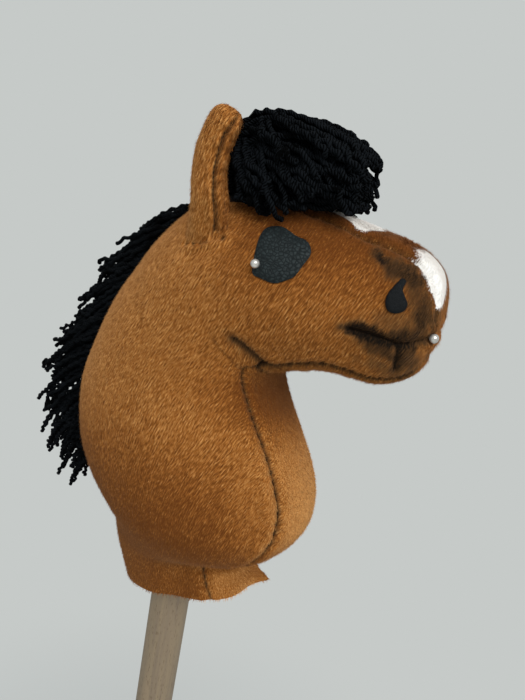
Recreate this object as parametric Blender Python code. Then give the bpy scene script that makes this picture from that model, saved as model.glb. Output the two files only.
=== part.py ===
"""Hobby horse: a padded plush horse's head on a wooden stick, with a yarn mane and forelock.

Frame: metres, +Z up along the stick, the horse looks along +X and its left side is +Y.
The origin is the centre of the stick's lower end face.
"""

import math

import bpy
import numpy as np
from mathutils import Vector
from mathutils.bvhtree import BVHTree

MM = 0.001

# Clearances
FIT = 0.3 * MM               # between two pieces that lie on each other
STUFFING_SLACK = 0.6 * MM    # between the filling and the inside of the plush

# The stick
STICK_DIAMETER = 25.0 * MM
STICK_LENGTH = 750.0 * MM
STICK_IN_HEAD = 180.0 * MM   # from the level of the hem to the end of the socket
STICK_EDGE = 1.2 * MM        # chamfer of both ends

# The plush and its strips
PLUSH_THICKNESS = 2.0 * MM
FACE_STRIP_WIDTH = 34.0 * MM
CHIN_STRIP_WIDTH = 48.0 * MM
CHEST_STRIP_WIDTH = 40.0 * MM
STRIP_END_WIDTH = 3.0 * MM   # where the face strip runs out between the side panels
FLAP_REACH = 18.0 * MM       # how far the loose corner stands forward of its sewn place
NOSE_CROWN = 1.0 * MM        # rise of the rounded tip of the muzzle

# The ears
EAR_CLOTH = 2.6 * MM         # one layer with its pile
EAR_DEPTH = 16.5 * MM        # from the back of the ear to its rim, seen from the side
EAR_WIDTH = 18.0 * MM        # across the open side
EAR_SEAM_ANGLE = 92.0        # degrees from the back of the ear to the seam on its outside
EAR_RIM_ANGLE = 128.0        # degrees from the back of the ear to the end of its rolled rim
EAR_OUT = 38.5 * MM          # from the middle plane to the middle of the ear

# Trims
PATCH_THICKNESS = 1.0 * MM
THREAD_DIAMETER = 0.9 * MM

# Pins
PEARL_DIAMETER = 4.3 * MM
PIN_LENGTH = 36.0 * MM       # from the pearl to the point
PIN_DIAMETER = 0.7 * MM
PIN_IN_PEARL = 2.2 * MM

# Mane and forelock
TAPE_WIDTH = 11.0 * MM
TAPE_THICKNESS = 1.4 * MM
MANE_LOCKS = 14
MANE_LENGTHS = (48.0 * MM, 68.0 * MM, 60.0 * MM)   # at the poll, at the longest and at the end
MANE_LONGEST = 0.7           # where the yarn is longest, as a share of the tape
MANE_HANG = (21.0, 31.0, 56.0)   # degrees below straight back, at the same three places
MANE_LOCK_WIDTH = 15.0 * MM
MANE_LOCK_GAP = 1.0 * MM     # between two bundles of the mane
FORELOCK_PAD_LENGTH = 30.0 * MM
FORELOCK_PAD_WIDTH = 44.0 * MM
FORELOCK_LOCK_WIDTH = 20.0 * MM
FORELOCK_LOWER_THICKNESS = 18.0 * MM
FORELOCK_UPPER_THICKNESS = 20.0 * MM
FORELOCK_LOCK_GAP = 0.5 * MM

HEM_HEIGHT = STICK_LENGTH - STICK_IN_HEAD
STICK_RADIUS = STICK_DIAMETER / 2

# Sections through the padded head, from the muzzle to the hem. Each is a rounded oval in a plane
# square to the side view: the point on the face or crest, the point on the chin or chest, its
# width across, and how square it is (2 is an ellipse). Forward of the stick's axis and above the
# hem's level, in millimetres.
SECTIONS = (
    ((117.5, 192.0), (117.0, 182.0), 12.0, 2.2),   # mouth, front
    ((116.5, 204.0), (115.0, 172.0), 34.0, 2.3),
    ((112.5, 214.5), (111.0, 166.0), 48.0, 2.3),
    ((104.5, 221.5), (104.5, 161.0), 57.0, 2.2),   # nostrils
    ((93.0, 226.0), (96.0, 157.5), 62.0, 2.2),
    ((80.0, 228.0), (86.5, 157.0), 66.0, 2.2),     # corners of the mouth
    ((66.0, 230.5), (76.5, 157.0), 73.0, 2.2),
    ((50.0, 232.5), (65.0, 154.5), 81.0, 2.1),     # eyes
    ((32.0, 233.5), (54.5, 151.5), 86.0, 2.1),
    ((12.0, 233.0), (47.0, 148.5), 88.0, 2.1),     # ears
    ((-8.0, 227.0), (43.0, 145.5), 88.0, 2.1),     # poll
    ((-26.0, 213.0), (42.0, 142.0), 88.0, 2.1),    # throat
    ((-43.0, 191.0), (44.0, 136.0), 87.0, 2.1),
    ((-58.5, 166.0), (49.0, 128.5), 87.0, 2.1),
    ((-71.0, 138.0), (56.0, 119.0), 89.0, 2.1),
    ((-78.0, 109.0), (63.5, 108.0), 93.0, 2.1),    # back of the crest
    ((-76.0, 83.0), (71.0, 95.0), 97.0, 2.1),
    ((-66.0, 62.0), (76.5, 80.0), 99.0, 2.1),      # widest part of the chest
    ((-51.5, 46.0), (77.5, 63.0), 96.0, 2.1),
    ((-43.0, 37.0), (69.0, 47.0), 86.0, 2.1),
    ((-42.5, 27.0), (53.0, 36.0), 72.0, 2.1),      # under the chest
    ((-41.0, 13.0), (39.0, 29.0), 58.0, 2.1),      # the empty skirt
    ((-37.0, -1.0), (44.0, 20.0), 51.0, 2.1),
    ((-31.0, -15.0), (54.0, 11.0), 48.0, 2.1),     # hem
)
POLL = 10.0            # section numbers where pieces begin and end
THROAT = 9.6
STUFFING_END = 19.6
HEM = len(SECTIONS) - 1.0
NOSE_TIP = 0.45
FLAP_START = 20.4
ROWS_PER_SECTION = 2
SIDE_COLUMNS = 10
STRIP_COLUMNS = 4
TIP_COLUMNS = 2 * (SIDE_COLUMNS + STRIP_COLUMNS)

# Places on the side of the head, forward of the stick's axis and above the hem's level
EYE_PLACE = (49.0 * MM, 210.0 * MM)
EYE_OUTLINE = ((-10.2, 10.6), (-4.6, 11.6), (3.0, 9.2), (9.0, 7.8), (12.3, 3.5), (11.0, -1.7),
               (9.0, -6.7), (6.0, -9.2), (1.2, -11.5), (-5.0, -10.8), (-9.4, -9.4), (-10.8, -3.0),
               (-11.8, 3.0), (-12.0, 8.0))
EYE_PIN_PLACE = (40.8 * MM, 204.2 * MM)
NOSTRIL_PLACE = (100.7 * MM, 202.5 * MM)
NOSTRIL_OUTLINE = ((0.6, 7.0), (2.9, 2.8), (4.2, -0.8), (2.6, -4.6), (-0.8, -4.8), (-3.9, -1.8),
                   (-3.4, 1.6), (-0.9, 3.0))
MOUTH_LINE = ((84.5, 187.0), (93.0, 186.5), (100.0, 185.5), (107.5, 184.8), (112.5, 186.0))
MOUTH_PIN_SECTION = 0.95
MOUTH_PIN_TURN = 272.0
MOUTH_PIN_RISE = 5.0   # degrees that the pearl stands higher than the point
EAR_LINE = ((16.5, 209.0), (14.2, 216.5), (11.2, 227.0), (9.6, 238.0), (9.8, 249.0), (11.6, 258.5),
            (14.5, 265.5))
EAR_TAPER = (1.0, 1.0, 0.97, 0.93, 0.88, 0.72, 0.42)
EAR_OPENS = 24.0       # degrees that the ear's opening is turned from straight ahead to the middle

MANE_START = 10.25
MANE_END = 16.9
MANE_LEAN = 7.0        # degrees that the mane's tape is off the middle, towards the left side
FORELOCK_SECTION = 9.05
FORELOCK_ROOT = 9.3
FORELOCK_UPPER = ((8.0, 247.0), (16.0, 259.5), (32.0, 264.5), (50.0, 263.5), (62.0, 259.4),
                  (69.5, 253.6))
FORELOCK_LOWER = ((23.0, 243.5), (34.0, 244.0), (46.0, 243.3), (58.0, 242.0), (67.0, 240.0),
                  (73.0, 238.0))
FORELOCK_SHORTER = 0.14      # how much shorter the left bundles are than the right ones
BROW_MIDDLE = 194.0 * MM     # height of the middle of the brow's round section


def clear_scene():
    for obj in list(bpy.data.objects):
        bpy.data.objects.remove(obj)


def make_material(name, colour, roughness, metallic=0.0):
    mat = bpy.data.materials.new(name)
    mat.use_nodes = True
    shader = mat.node_tree.nodes["Principled BSDF"]
    shader.inputs["Base Color"].default_value = (*colour, 1.0)
    shader.inputs["Roughness"].default_value = roughness
    shader.inputs["Metallic"].default_value = metallic
    return mat


def make_piece(name, points, faces, mat, parent, smooth=True):
    """One named object from the points, in metres in its parent's frame, and faces of a solid."""
    points = np.asarray(points, float)
    volume = 0.0
    for face in faces:
        a = points[face[0]]
        for i, j in zip(face[1:], face[2:]):
            volume += a.dot(np.cross(points[i], points[j]))
    if volume < 0:
        faces = [face[::-1] for face in faces]
    mesh = bpy.data.meshes.new(name)
    mesh.from_pydata(points.tolist(), [], faces)
    mesh.validate()
    if smooth:
        mesh.shade_smooth()
        mesh.set_sharp_from_angle(angle=math.radians(50))
    mesh.materials.append(mat)
    obj = bpy.data.objects.new(name, mesh)
    obj.parent = parent
    bpy.context.collection.objects.link(obj)
    return obj


def make_empty(name, place, parent=None, direction=(0, 0, 1)):
    """An empty on a joint's axis; its local +Z is the way the child moves."""
    empty = bpy.data.objects.new(name, None)
    empty.empty_display_size = 0.02
    empty.location = place
    empty.rotation_mode = "QUATERNION"
    empty.rotation_quaternion = Vector((0, 0, 1)).rotation_difference(Vector(direction))
    empty.parent = parent
    bpy.context.collection.objects.link(empty)
    return empty


def curve_through(knots, t):
    """Catmull-Rom curve through the rows of knots, at section numbers t."""
    knots = np.asarray(knots, float)
    t = np.asarray(t, float)
    last = len(knots) - 1
    padded = np.vstack([2 * knots[0] - knots[1], knots, 2 * knots[-1] - knots[-2]])
    i = np.clip(np.floor(t).astype(int), 0, last - 1)
    f = (t - i)[..., None]
    a, b, c, d = padded[i], padded[i + 1], padded[i + 2], padded[i + 3]
    return 0.5 * (2 * b + (c - a) * f + (2 * a - 5 * b + 4 * c - d) * f**2
                  + (3 * b - a - 3 * c + d) * f**3)


SECTION_KNOTS = np.array([(*top, *low, across / 2, power) for top, low, across, power in SECTIONS])
SECTION_KNOTS[:, :5] *= MM


def skin(section, turn):
    """Outer face of the plush: turn runs round a section from the crest, over the left side,
    to the chin or chest at half a turn, and back over the right side."""
    section, turn = np.broadcast_arrays(np.asarray(section, float), np.asarray(turn, float))
    s = curve_through(SECTION_KNOTS, section)
    c, d = np.cos(turn), np.sin(turn)
    k = (np.abs(c) ** s[..., 5] + np.abs(d) ** s[..., 5]) ** (-1 / s[..., 5])
    x = (s[..., 0] + s[..., 2]) / 2 + (s[..., 0] - s[..., 2]) / 2 * c * k
    z = (s[..., 1] + s[..., 3]) / 2 + (s[..., 1] - s[..., 3]) / 2 * c * k
    return np.stack([x, s[..., 4] * d * k, z], -1)


def skin_normal(section, turn):
    """Unit vector out of the plush, from short steps along and round the skin."""
    step = 1e-3
    along = skin(np.minimum(section + step, HEM), turn) - skin(np.maximum(section - step, 0), turn)
    around = skin(section, turn + step) - skin(section, turn - step)
    n = np.cross(around, along)
    return n / np.linalg.norm(n, axis=-1, keepdims=True)


def turn_at(section, from_middle):
    """How far round a section a seam lies that runs at this distance from the middle plane."""
    half = curve_through(SECTION_KNOTS, section)[..., 4]
    return np.arcsin(np.clip(from_middle / half, 0, 0.92))


def gap_turn(section):
    """The turn that leaves half of the seam's gap beside a seam near the middle plane."""
    return FIT / 2 / curve_through(SECTION_KNOTS, section)[..., 4] * 1.15


def face_seam(section):
    """Turn of the face strip's edge: full width over the nose and brow, running out at the poll."""
    width = np.interp(section, (0.0, 2.0, 5.0, POLL - 2.5, POLL),
                      (0.8, 0.8, 1.0, 1.0, STRIP_END_WIDTH / FACE_STRIP_WIDTH)) * FACE_STRIP_WIDTH
    return turn_at(section, width / 2)


def low_seam(section):
    """Turn, from the chin or chest's middle, of the lower strips' edge."""
    chin = np.interp(section, (0.0, 1.0, 3.3, 6.0, THROAT), (0.3, 0.4, 0.68, 1.0, 1.0))
    chest = np.interp(section, (THROAT, 12.5, 17.0, 18.5, HEM), (1.2, 1.0, 1.05, 1.25, 1.0))
    width = np.where(section < THROAT, chin * CHIN_STRIP_WIDTH, chest * CHEST_STRIP_WIDTH)
    return turn_at(section, width / 2)


def section_rows(first, last):
    """Section numbers from first to last, with the model's regular rows between them."""
    step = 1 / ROWS_PER_SECTION
    inner = np.arange(math.floor(first / step) + 1, math.ceil(last / step)) * step
    inner = inner[(inner > first + 0.3 * step) & (inner < last - 0.3 * step)]
    return np.concatenate([[first], inner, [last]])


def thicken(outer, inner, faces):
    """A closed shell from matching outer and inner points; its rim is where the faces end."""
    count = len(outer)
    edges = {}
    for face in faces:
        for a, b in zip(face, face[1:] + face[:1]):
            edges[(a, b)] = True
    rim = [(b, a, a + count, b + count) for a, b in edges if (b, a) not in edges]
    back = [tuple(i + count for i in reversed(face)) for face in faces]
    return np.vstack([outer, inner]), faces + back + rim


def grid_faces(rows, columns, closed=False, flip=False):
    """Quads of a grid of points laid out row by row."""
    faces = []
    for i in range(rows - 1):
        for j in range(columns if closed else columns - 1):
            k = (j + 1) % columns
            face = (i * columns + j, i * columns + k, (i + 1) * columns + k, (i + 1) * columns + j)
            faces.append(face[::-1] if flip else face)
    return faces


def plush_panel(name, sections, turns, mat, parent, flare=None):
    """A panel of plush over a grid of the skin: sections is one value a row, turns a grid."""
    sections = np.repeat(sections[:, None], turns.shape[1], axis=1)
    outer = skin(sections, turns)
    inner = outer - PLUSH_THICKNESS * skin_normal(sections, turns)
    if flare is not None:
        outer = outer + flare
        inner = inner + flare
    faces = grid_faces(*turns.shape)
    points, faces = thicken(outer.reshape(-1, 3), inner.reshape(-1, 3), faces)
    return make_piece(name, points, faces, mat, parent)


def spread(low, high, columns):
    """Evenly spaced turns from low to high for every row."""
    return low[:, None] + (high - low)[:, None] * np.linspace(0, 1, columns + 1)[None]


def side_panels(mat, parent):
    sections = section_rows(NOSE_TIP + seam_rows(NOSE_TIP), HEM)
    seam = np.where(sections <= POLL, face_seam(sections), 0.0)
    top = seam + gap_turn(sections)
    low = math.pi - low_seam(sections) - gap_turn(sections)
    left = spread(top, low, SIDE_COLUMNS)
    plush_panel("side_panel_left", sections, left, mat, parent)
    plush_panel("side_panel_right", sections, (2 * math.pi - left)[:, ::-1], mat, parent)


def seam_rows(section):
    """Half of the seam's gap at a section, as a share of a section."""
    step = 1e-3
    length = np.linalg.norm(skin(section + step, math.pi) - skin(section, math.pi)) / step
    return FIT / 2 / length


def face_gusset(mat, parent):
    """The strip over forehead and nose, in one with the round tip of the muzzle."""
    tip_rows = np.array([0.0, NOSE_TIP - seam_rows(NOSE_TIP)])
    strip_rows = section_rows(tip_rows[-1], POLL)[1:]
    sections = np.concatenate([tip_rows, strip_rows])
    around = TIP_COLUMNS - STRIP_COLUMNS
    points, normals, faces = [], [], []
    for row, section in enumerate(sections):
        edge = face_seam(section) - gap_turn(section)
        turns = np.linspace(-edge, edge, STRIP_COLUMNS + 1)
        if row < len(tip_rows):
            turns = np.concatenate([turns, np.linspace(edge, 2 * math.pi - edge, around + 1)[1:-1]])
        points.append(skin(section, turns))
        normals.append(skin_normal(section, turns))
    first = np.cumsum([0] + [len(p) for p in points])
    for row in range(len(sections) - 1):
        whole = row + 1 < len(tip_rows)
        count = TIP_COLUMNS if whole else STRIP_COLUMNS
        for j in range(count):
            k = (j + 1) % TIP_COLUMNS
            faces.append((first[row] + j, first[row] + k, first[row + 1] + k, first[row + 1] + j))
    outer = np.vstack(points)
    inner = outer - PLUSH_THICKNESS * np.vstack(normals)
    middle = points[0].mean(axis=0) + (NOSE_CROWN, 0, 0)
    pole = len(outer)
    outer = np.vstack([outer, middle])
    inner = np.vstack([inner, middle - (PLUSH_THICKNESS, 0, 0)])
    faces += [((j + 1) % TIP_COLUMNS, j, pole) for j in range(TIP_COLUMNS)]
    points, faces = thicken(outer, inner, [tuple(int(i) for i in face) for face in faces])
    return make_piece("face_gusset", points, faces, mat, parent)


def low_strip(name, first, last, mat, parent):
    sections = section_rows(first, last)
    edge = low_seam(sections) - gap_turn(sections) * np.where(sections < FLAP_START, 1, 4)
    turns = spread(math.pi - edge, math.pi + edge, STRIP_COLUMNS)
    flare = None
    if last >= HEM:
        # the loose end swings forward from its sewn right edge to its free left corner
        loose = np.clip((sections - FLAP_START) / (HEM - FLAP_START), 0, 1) ** 1.3
        across = np.linspace(1, 0, STRIP_COLUMNS + 1)
        bow = skin(sections[:, None], turns)
        straight = bow[:, -1:] + (bow[:, :1] - bow[:, -1:]) * across[None, :, None]
        flare = (straight - bow) * 0.75 * loose[:, None, None]
        flare[..., 0] += FLAP_REACH * loose[:, None] * across[None]
    return plush_panel(name, sections, turns, mat, parent, flare)


def gussets(mat, parent):
    face_gusset(mat, parent)
    gap = seam_rows(THROAT)
    low_strip("chin_gusset", NOSE_TIP + seam_rows(NOSE_TIP), THROAT - gap, mat, parent)
    low_strip("chest_gusset", THROAT + gap, HEM, mat, parent)


def ring_turns(sections, top_seam):
    """The turns of the panels' columns all the way round, for fillings that lie inside them."""
    low = math.pi - low_seam(sections)
    side = spread(top_seam, low, SIDE_COLUMNS)
    under = spread(low, 2 * math.pi - low, STRIP_COLUMNS)
    parts = [side[:, :-1], under[:, :-1], (2 * math.pi - side)[:, :0:-1]]
    if top_seam.min() > 0:
        parts.append(spread(2 * math.pi - top_seam, 2 * math.pi + top_seam, STRIP_COLUMNS)[:, :-1])
    return np.hstack(parts)


def stuffing(name, first, last, mat, parent, nose=False):
    """Filling between two sections, inside the plush, with flat ends or a nose."""
    sections = section_rows(first, last)
    turns = ring_turns(sections, face_seam(sections) if nose else 0 * sections)
    columns = turns.shape[1]
    rows = np.repeat(sections[:, None], columns, axis=1)
    inset = PLUSH_THICKNESS + STUFFING_SLACK
    points = (skin(rows, turns) - inset * skin_normal(rows, turns)).reshape(-1, 3)
    faces = grid_faces(len(sections), columns, closed=True)
    start = points[:columns].mean(axis=0)
    if nose:
        start = start + (NOSE_CROWN - STUFFING_SLACK, 0, 0)
    end = points[-columns:].mean(axis=0)
    pole = len(points)
    points = np.vstack([points, start, end])
    base = (len(sections) - 1) * columns
    for j in range(columns):
        k = (j + 1) % columns
        faces.append((k, j, pole))
        faces.append((base + j, base + k, pole + 1))
    return make_piece(name, points, faces, mat, parent)


def make_cutter(name, radius, length, place, parent, sides=24):
    """A cylinder up from place, which only shows where material is taken away."""
    turns = np.linspace(0, 2 * math.pi, sides, endpoint=False)
    ring = np.stack([radius * np.cos(turns), radius * np.sin(turns), 0 * turns], -1)
    points = np.vstack([ring, ring + (0, 0, length)])
    faces = [(j, (j + 1) % sides, sides + (j + 1) % sides, sides + j) for j in range(sides)]
    faces += [tuple(reversed(range(sides))), tuple(range(sides, 2 * sides))]
    mesh = bpy.data.meshes.new(name)
    mesh.from_pydata([tuple(p) for p in points], [], faces)
    cutter = bpy.data.objects.new(name, mesh)
    cutter.location = place
    cutter.parent = parent
    cutter.hide_render = True
    cutter.display_type = "WIRE"
    bpy.context.collection.objects.link(cutter)
    return cutter


def cut(piece, cutter):
    modifier = piece.modifiers.new(cutter.name, "BOOLEAN")
    modifier.operation = "DIFFERENCE"
    modifier.solver = "EXACT"
    modifier.object = cutter


def turned(name, profile, sides, mat, parent):
    """A solid turned about +Z from (radius, height) points; radius 0 closes an end."""
    turns = np.linspace(0, 2 * math.pi, sides, endpoint=False)
    points, rings = [], []
    for radius, height in profile:
        if radius == 0:
            rings.append([len(points)] * sides)
            points.append((0.0, 0.0, height))
        else:
            rings.append(list(range(len(points), len(points) + sides)))
            points += [(radius * math.cos(t), radius * math.sin(t), height) for t in turns]
    faces = []
    for lower, upper in zip(rings, rings[1:]):
        for j in range(sides):
            k = (j + 1) % sides
            corners = (lower[j], lower[k], upper[k], upper[j])
            faces.append(tuple(dict.fromkeys(corners)))
    return make_piece(name, points, faces, mat, parent)


def stick(mat):
    r, edge = STICK_RADIUS, STICK_EDGE
    profile = ((0, 0), (r - edge, 0), (r, edge), (r, STICK_LENGTH - edge), (r - edge, STICK_LENGTH),
               (0, STICK_LENGTH))
    return turned("stick", profile, 32, mat, None)


def skin_tree():
    """The smooth skin as a fine mesh, to find places on it."""
    rows = np.linspace(0, HEM, 300)
    turns = np.linspace(0, 2 * math.pi, 160, endpoint=False)
    points = skin(rows[:, None], turns[None]).reshape(-1, 3)
    return BVHTree.FromPolygons(points.tolist(), grid_faces(300, 160, closed=True))


def on_side(tree, side, x, z):
    """The place on the plush's left (+1) or right (-1) side at this x and z, and its normal."""
    place, normal, _, _ = tree.ray_cast(Vector((x, side * 0.2, z)), Vector((0, -side, 0)))
    if normal.y * side < 0:
        normal = -normal
    return place, normal


def side_name(side):
    return "left" if side > 0 else "right"


def closed_curve(outline, count):
    """Points of a smooth closed curve through the outline's points."""
    knots = np.array(outline * 3, float)
    n = len(outline)
    return curve_through(knots, n + np.arange(count) * n / count)


def side_patch(name, tree, side, place, outline, mat, parent):
    """A thin patch that lies on the side of the head, from an outline in millimetres."""
    count = 2 * len(outline)
    rim = closed_curve(outline, count) * MM
    middle = rim.mean(axis=0)
    flat = [middle] + [middle + (p - middle) * 0.55 for p in rim] + list(rim)
    low, high = [], []
    for x, z in flat:
        point, normal = on_side(tree, side, place[0] + x, place[1] + z)
        low.append(point + normal * FIT)
        high.append(point + normal * (FIT + PATCH_THICKNESS))
    faces = []
    for j in range(count):
        k = (j + 1) % count
        faces.append((0, 1 + j, 1 + k))
        faces.append((1 + j, 1 + count + j, 1 + count + k, 1 + k))
    if np.cross(rim[0] - middle, rim[1] - middle) * side > 0:
        faces = [face[::-1] for face in faces]
    points, faces = thicken(np.array(high), np.array(low), faces)
    return make_piece(name, points, faces, mat, parent)


def swept(name, path, sizes, ups, sides, mat, parent, power=2.0):
    """A closed solid along a path: sizes are its (width, thickness) at each point, and ups the
    directions of its thickness there."""
    path = np.asarray(path, float)
    along = np.gradient(path, axis=0)
    along /= np.linalg.norm(along, axis=1, keepdims=True)
    ups = np.asarray(ups, float)
    ups = ups - (ups * along).sum(1, keepdims=True) * along
    ups /= np.linalg.norm(ups, axis=1, keepdims=True)
    across = np.cross(along, ups)
    turns = np.linspace(0, 2 * math.pi, sides, endpoint=False)
    c, d = np.cos(turns), np.sin(turns)
    k = (np.abs(c) ** power + np.abs(d) ** power) ** (-1 / power)
    points = []
    for p, (width, thick), a, u in zip(path, sizes, across, ups):
        points += [p + a * (width / 2 * x) + u * (thick / 2 * y) for x, y in zip(c * k, d * k)]
    faces = grid_faces(len(path), sides, closed=True, flip=True)
    first, last = len(points), len(points) + 1
    points += [path[0], path[-1]]
    base = (len(path) - 1) * sides
    for j in range(sides):
        m = (j + 1) % sides
        faces.append((j, m, first))
        faces.append((base + m, base + j, last))
    return make_piece(name, points, [f[::-1] for f in faces], mat, parent)


def mouth_thread(tree, side, mat, parent):
    """The dark line of the mouth, a thread along the side of the muzzle."""
    line = curve_through(MOUTH_LINE, np.linspace(0, len(MOUTH_LINE) - 1, 13)) * MM
    path, ups = [], []
    for x, z in line:
        point, normal = on_side(tree, side, x, z)
        path.append(point + normal * (FIT + THREAD_DIAMETER / 2))
        ups.append(normal)
    sizes = [(THREAD_DIAMETER, THREAD_DIAMETER)] * len(path)
    return swept("mouth_thread_" + side_name(side), path, sizes, ups, 6, mat, parent)


def ear_frames(side):
    """Middle line of an ear and the directions of its back and of its outer side."""
    count = len(EAR_LINE)
    line = np.array([(x * MM, side * EAR_OUT, z * MM) for x, z in EAR_LINE])
    opens = math.radians(EAR_OPENS)
    front = np.array([math.cos(opens), -side * math.sin(opens), 0.0])
    frames = []
    along = np.gradient(line, axis=0)
    for i in range(count):
        a = along[i] / np.linalg.norm(along[i])
        f = front - front.dot(a) * a
        f /= np.linalg.norm(f)
        frames.append((line[i], f, np.cross(a, f)))
    return frames


def ear_piece(name, side, loop, tree, mat, parent):
    """A cloth of the ear: a closed loop in (back, sideways) carried up the ear's middle line."""
    rows = []
    for row, (place, front, sideways) in enumerate(ear_frames(side)):
        taper = EAR_TAPER[row]
        ring = []
        for angle, depth in loop:
            wall = depth * min(1.0, taper + 0.25)
            a = math.radians(angle)
            back = (EAR_DEPTH * 0.62 * taper - wall) * math.cos(a)
            out = (EAR_WIDTH / 2 * taper - wall) * math.sin(a)
            ring.append(place - front * back + sideways * out)
        rows.append(ring)
    # the lowest row is trimmed to lie on the falling side of the head, and the next rows follow
    down = Vector((0, -side * 0.55, -1)).normalized()
    seat = []
    for point in rows[0]:
        hit, _, _, _ = tree.ray_cast(Vector(point) - down * 0.03, down)
        seat.append(np.array(hit - down * (2.2 * FIT)) - point)
    points = []
    for row, ring in enumerate(rows):
        share = max(0.0, 1 - row / 4)
        points += [point + share * shift for point, shift in zip(ring, seat)]
    n = len(loop)
    faces = grid_faces(len(EAR_LINE), n, closed=True)
    top = (len(EAR_LINE) - 1) * n
    faces += ear_ends(n, top)
    return make_piece(name, points, faces, mat, parent)


def ear_ends(n, top):
    """The strip of faces that closes the ends of a loop whose second half runs back inside it."""
    faces = []
    half = n // 2
    for j in range(half - 1):
        a, b = j, j + 1
        c, d = n - 2 - j, n - 1 - j
        faces.append((b, a, d, c))
        faces.append((top + a, top + b, top + c, top + d))
    return faces


def ear(side, tree, outer_mat, lining_mat, parent):
    """Two cloths folded to a cup; the lining's rim is rolled to the outside past the seam."""
    seam, rim, cloth = EAR_SEAM_ANGLE, EAR_RIM_ANGLE, EAR_CLOTH
    arc = np.linspace(-seam, seam, 9)
    outer = [(a, 0.0) for a in arc] + [(a, cloth) for a in arc[::-1]]
    inside = np.linspace(-seam, seam, 7)
    gap = 5.0
    outside = ([(-rim, 0.15 * cloth), (-seam - gap, 0.0), (-seam - gap, cloth + FIT)]
               + [(a, cloth + FIT) for a in inside[1:-1]]
               + [(seam + gap, cloth + FIT), (seam + gap, 0.0), (rim, 0.15 * cloth)])
    back = ([(rim, 1.85 * cloth), (seam + gap + 2, 2 * cloth + FIT), (seam + gap, 2 * cloth + FIT)]
            + [(a, 2 * cloth + FIT) for a in inside[::-1][1:-1]]
            + [(-seam - gap, 2 * cloth + FIT), (-seam - gap - 2, 2 * cloth + FIT),
               (-rim, 1.85 * cloth)])
    ear_piece("ear_outer_" + side_name(side), side, outer, tree, outer_mat, parent)
    ear_piece("ear_lining_" + side_name(side), side, outside + back, tree, lining_mat, parent)


def pin(name, seat, normal, base, drilled, materials, parent):
    """A pearl-headed pin stuck in along the normal; drilled are the pieces that it goes through."""
    pearl_mat, steel_mat = materials
    axis = make_empty(name + "_axis", seat, parent, normal)
    radius = PEARL_DIAMETER / 2
    centre = base + FIT + radius
    stacks = 9
    heights = [-math.cos(math.pi * i / stacks) for i in range(stacks + 1)]
    profile = [(radius * math.sqrt(max(0.0, 1 - h * h)), centre + radius * h) for h in heights]
    profile[0] = (0, profile[0][1])
    profile[-1] = (0, profile[-1][1])
    pearl = turned(name + "_head", profile, 12, pearl_mat, axis)
    bore = make_cutter(name + "_bore", PIN_DIAMETER / 2 + FIT, PIN_IN_PEARL + FIT + radius,
                       (0, 0, centre - 2 * radius), axis, 8)
    cut(pearl, bore)
    top = centre - radius + PIN_IN_PEARL
    point = centre - radius - PIN_LENGTH
    shank = ((0, point), (PIN_DIAMETER / 2, point + 2 * PIN_DIAMETER), (PIN_DIAMETER / 2, top),
             (0, top))
    turned(name + "_shank", shank, 8, steel_mat, axis)
    hole = make_cutter(name + "_hole", PIN_DIAMETER / 2 + FIT, PIN_LENGTH + radius + 2 * FIT,
                       (0, 0, point - FIT), axis, 8)
    for piece in drilled:
        cut(piece, hole)


def tape(name, sections, turns, mat, parent):
    """A band that lies on the skin over a grid of turns, one row a section."""
    rows = np.repeat(sections[:, None], turns.shape[1], axis=1)
    normal = skin_normal(rows, turns)
    low = (skin(rows, turns) + FIT * normal).reshape(-1, 3)
    high = (skin(rows, turns) + (FIT + TAPE_THICKNESS) * normal).reshape(-1, 3)
    points, faces = thicken(high, low, grid_faces(*turns.shape))
    return make_piece(name, points, faces, mat, parent)


def mane(tape_mat, yarn_mat, parent):
    """The tape along the crest and the bundles of yarn that hang from it."""
    sections = np.linspace(MANE_START, MANE_END, 27)
    lean = math.radians(MANE_LEAN)
    half = TAPE_WIDTH / 2 / curve_through(SECTION_KNOTS, sections)[:, 4]
    tape("mane_tape", sections, spread(lean - half, lean + half, 2), tape_mat, parent)
    pitch = (MANE_END - MANE_START) / MANE_LOCKS
    for k in range(MANE_LOCKS):
        mane_lock(k, MANE_START + pitch * (k + 0.5), pitch, lean, yarn_mat, parent)


def mane_lock(k, section, pitch, lean, mat, parent):
    """One bundle: straight out of the tape, then back, down and to the left."""
    root = skin(section, lean)
    out = skin_normal(section, lean)
    step = skin(section + pitch / 2, lean) - skin(section - pitch / 2, lean)
    share = (section - MANE_START) / (MANE_END - MANE_START)
    length = np.interp(share, (0, MANE_LONGEST, 1), MANE_LENGTHS)
    hang = np.interp(share, (0, MANE_LONGEST, 1), MANE_HANG)
    across = np.array([-math.sin(math.radians(hang)), 0, math.cos(math.radians(hang))])
    thickness = abs(step.dot(across)) - MANE_LOCK_GAP
    steps = 8
    path = [root + out * (2 * FIT + TAPE_THICKNESS)]
    path.append(path[0] + out * thickness / 3)
    for i in range(1, steps - 1):
        along = i / (steps - 2)
        turn = math.radians(hang - 9 + 16 * along)
        heading = np.array([-math.cos(turn), 0.34 * along, -math.sin(turn)])
        heading /= np.linalg.norm(heading)
        path.append(path[-1] + heading * length / (steps - 2))
    fullness = (0.62, 0.7, 0.94, 1.0, 1.0, 0.96, 0.86, 0.5)
    sizes = [(MANE_LOCK_WIDTH * f, thickness * min(1.0, f + 0.1)) for f in fullness]
    ups = [-step] * 2 + [across] * (steps - 2)
    swept("mane_lock_%02d" % (k + 1), path, sizes, ups, 8, mat, parent)


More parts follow.
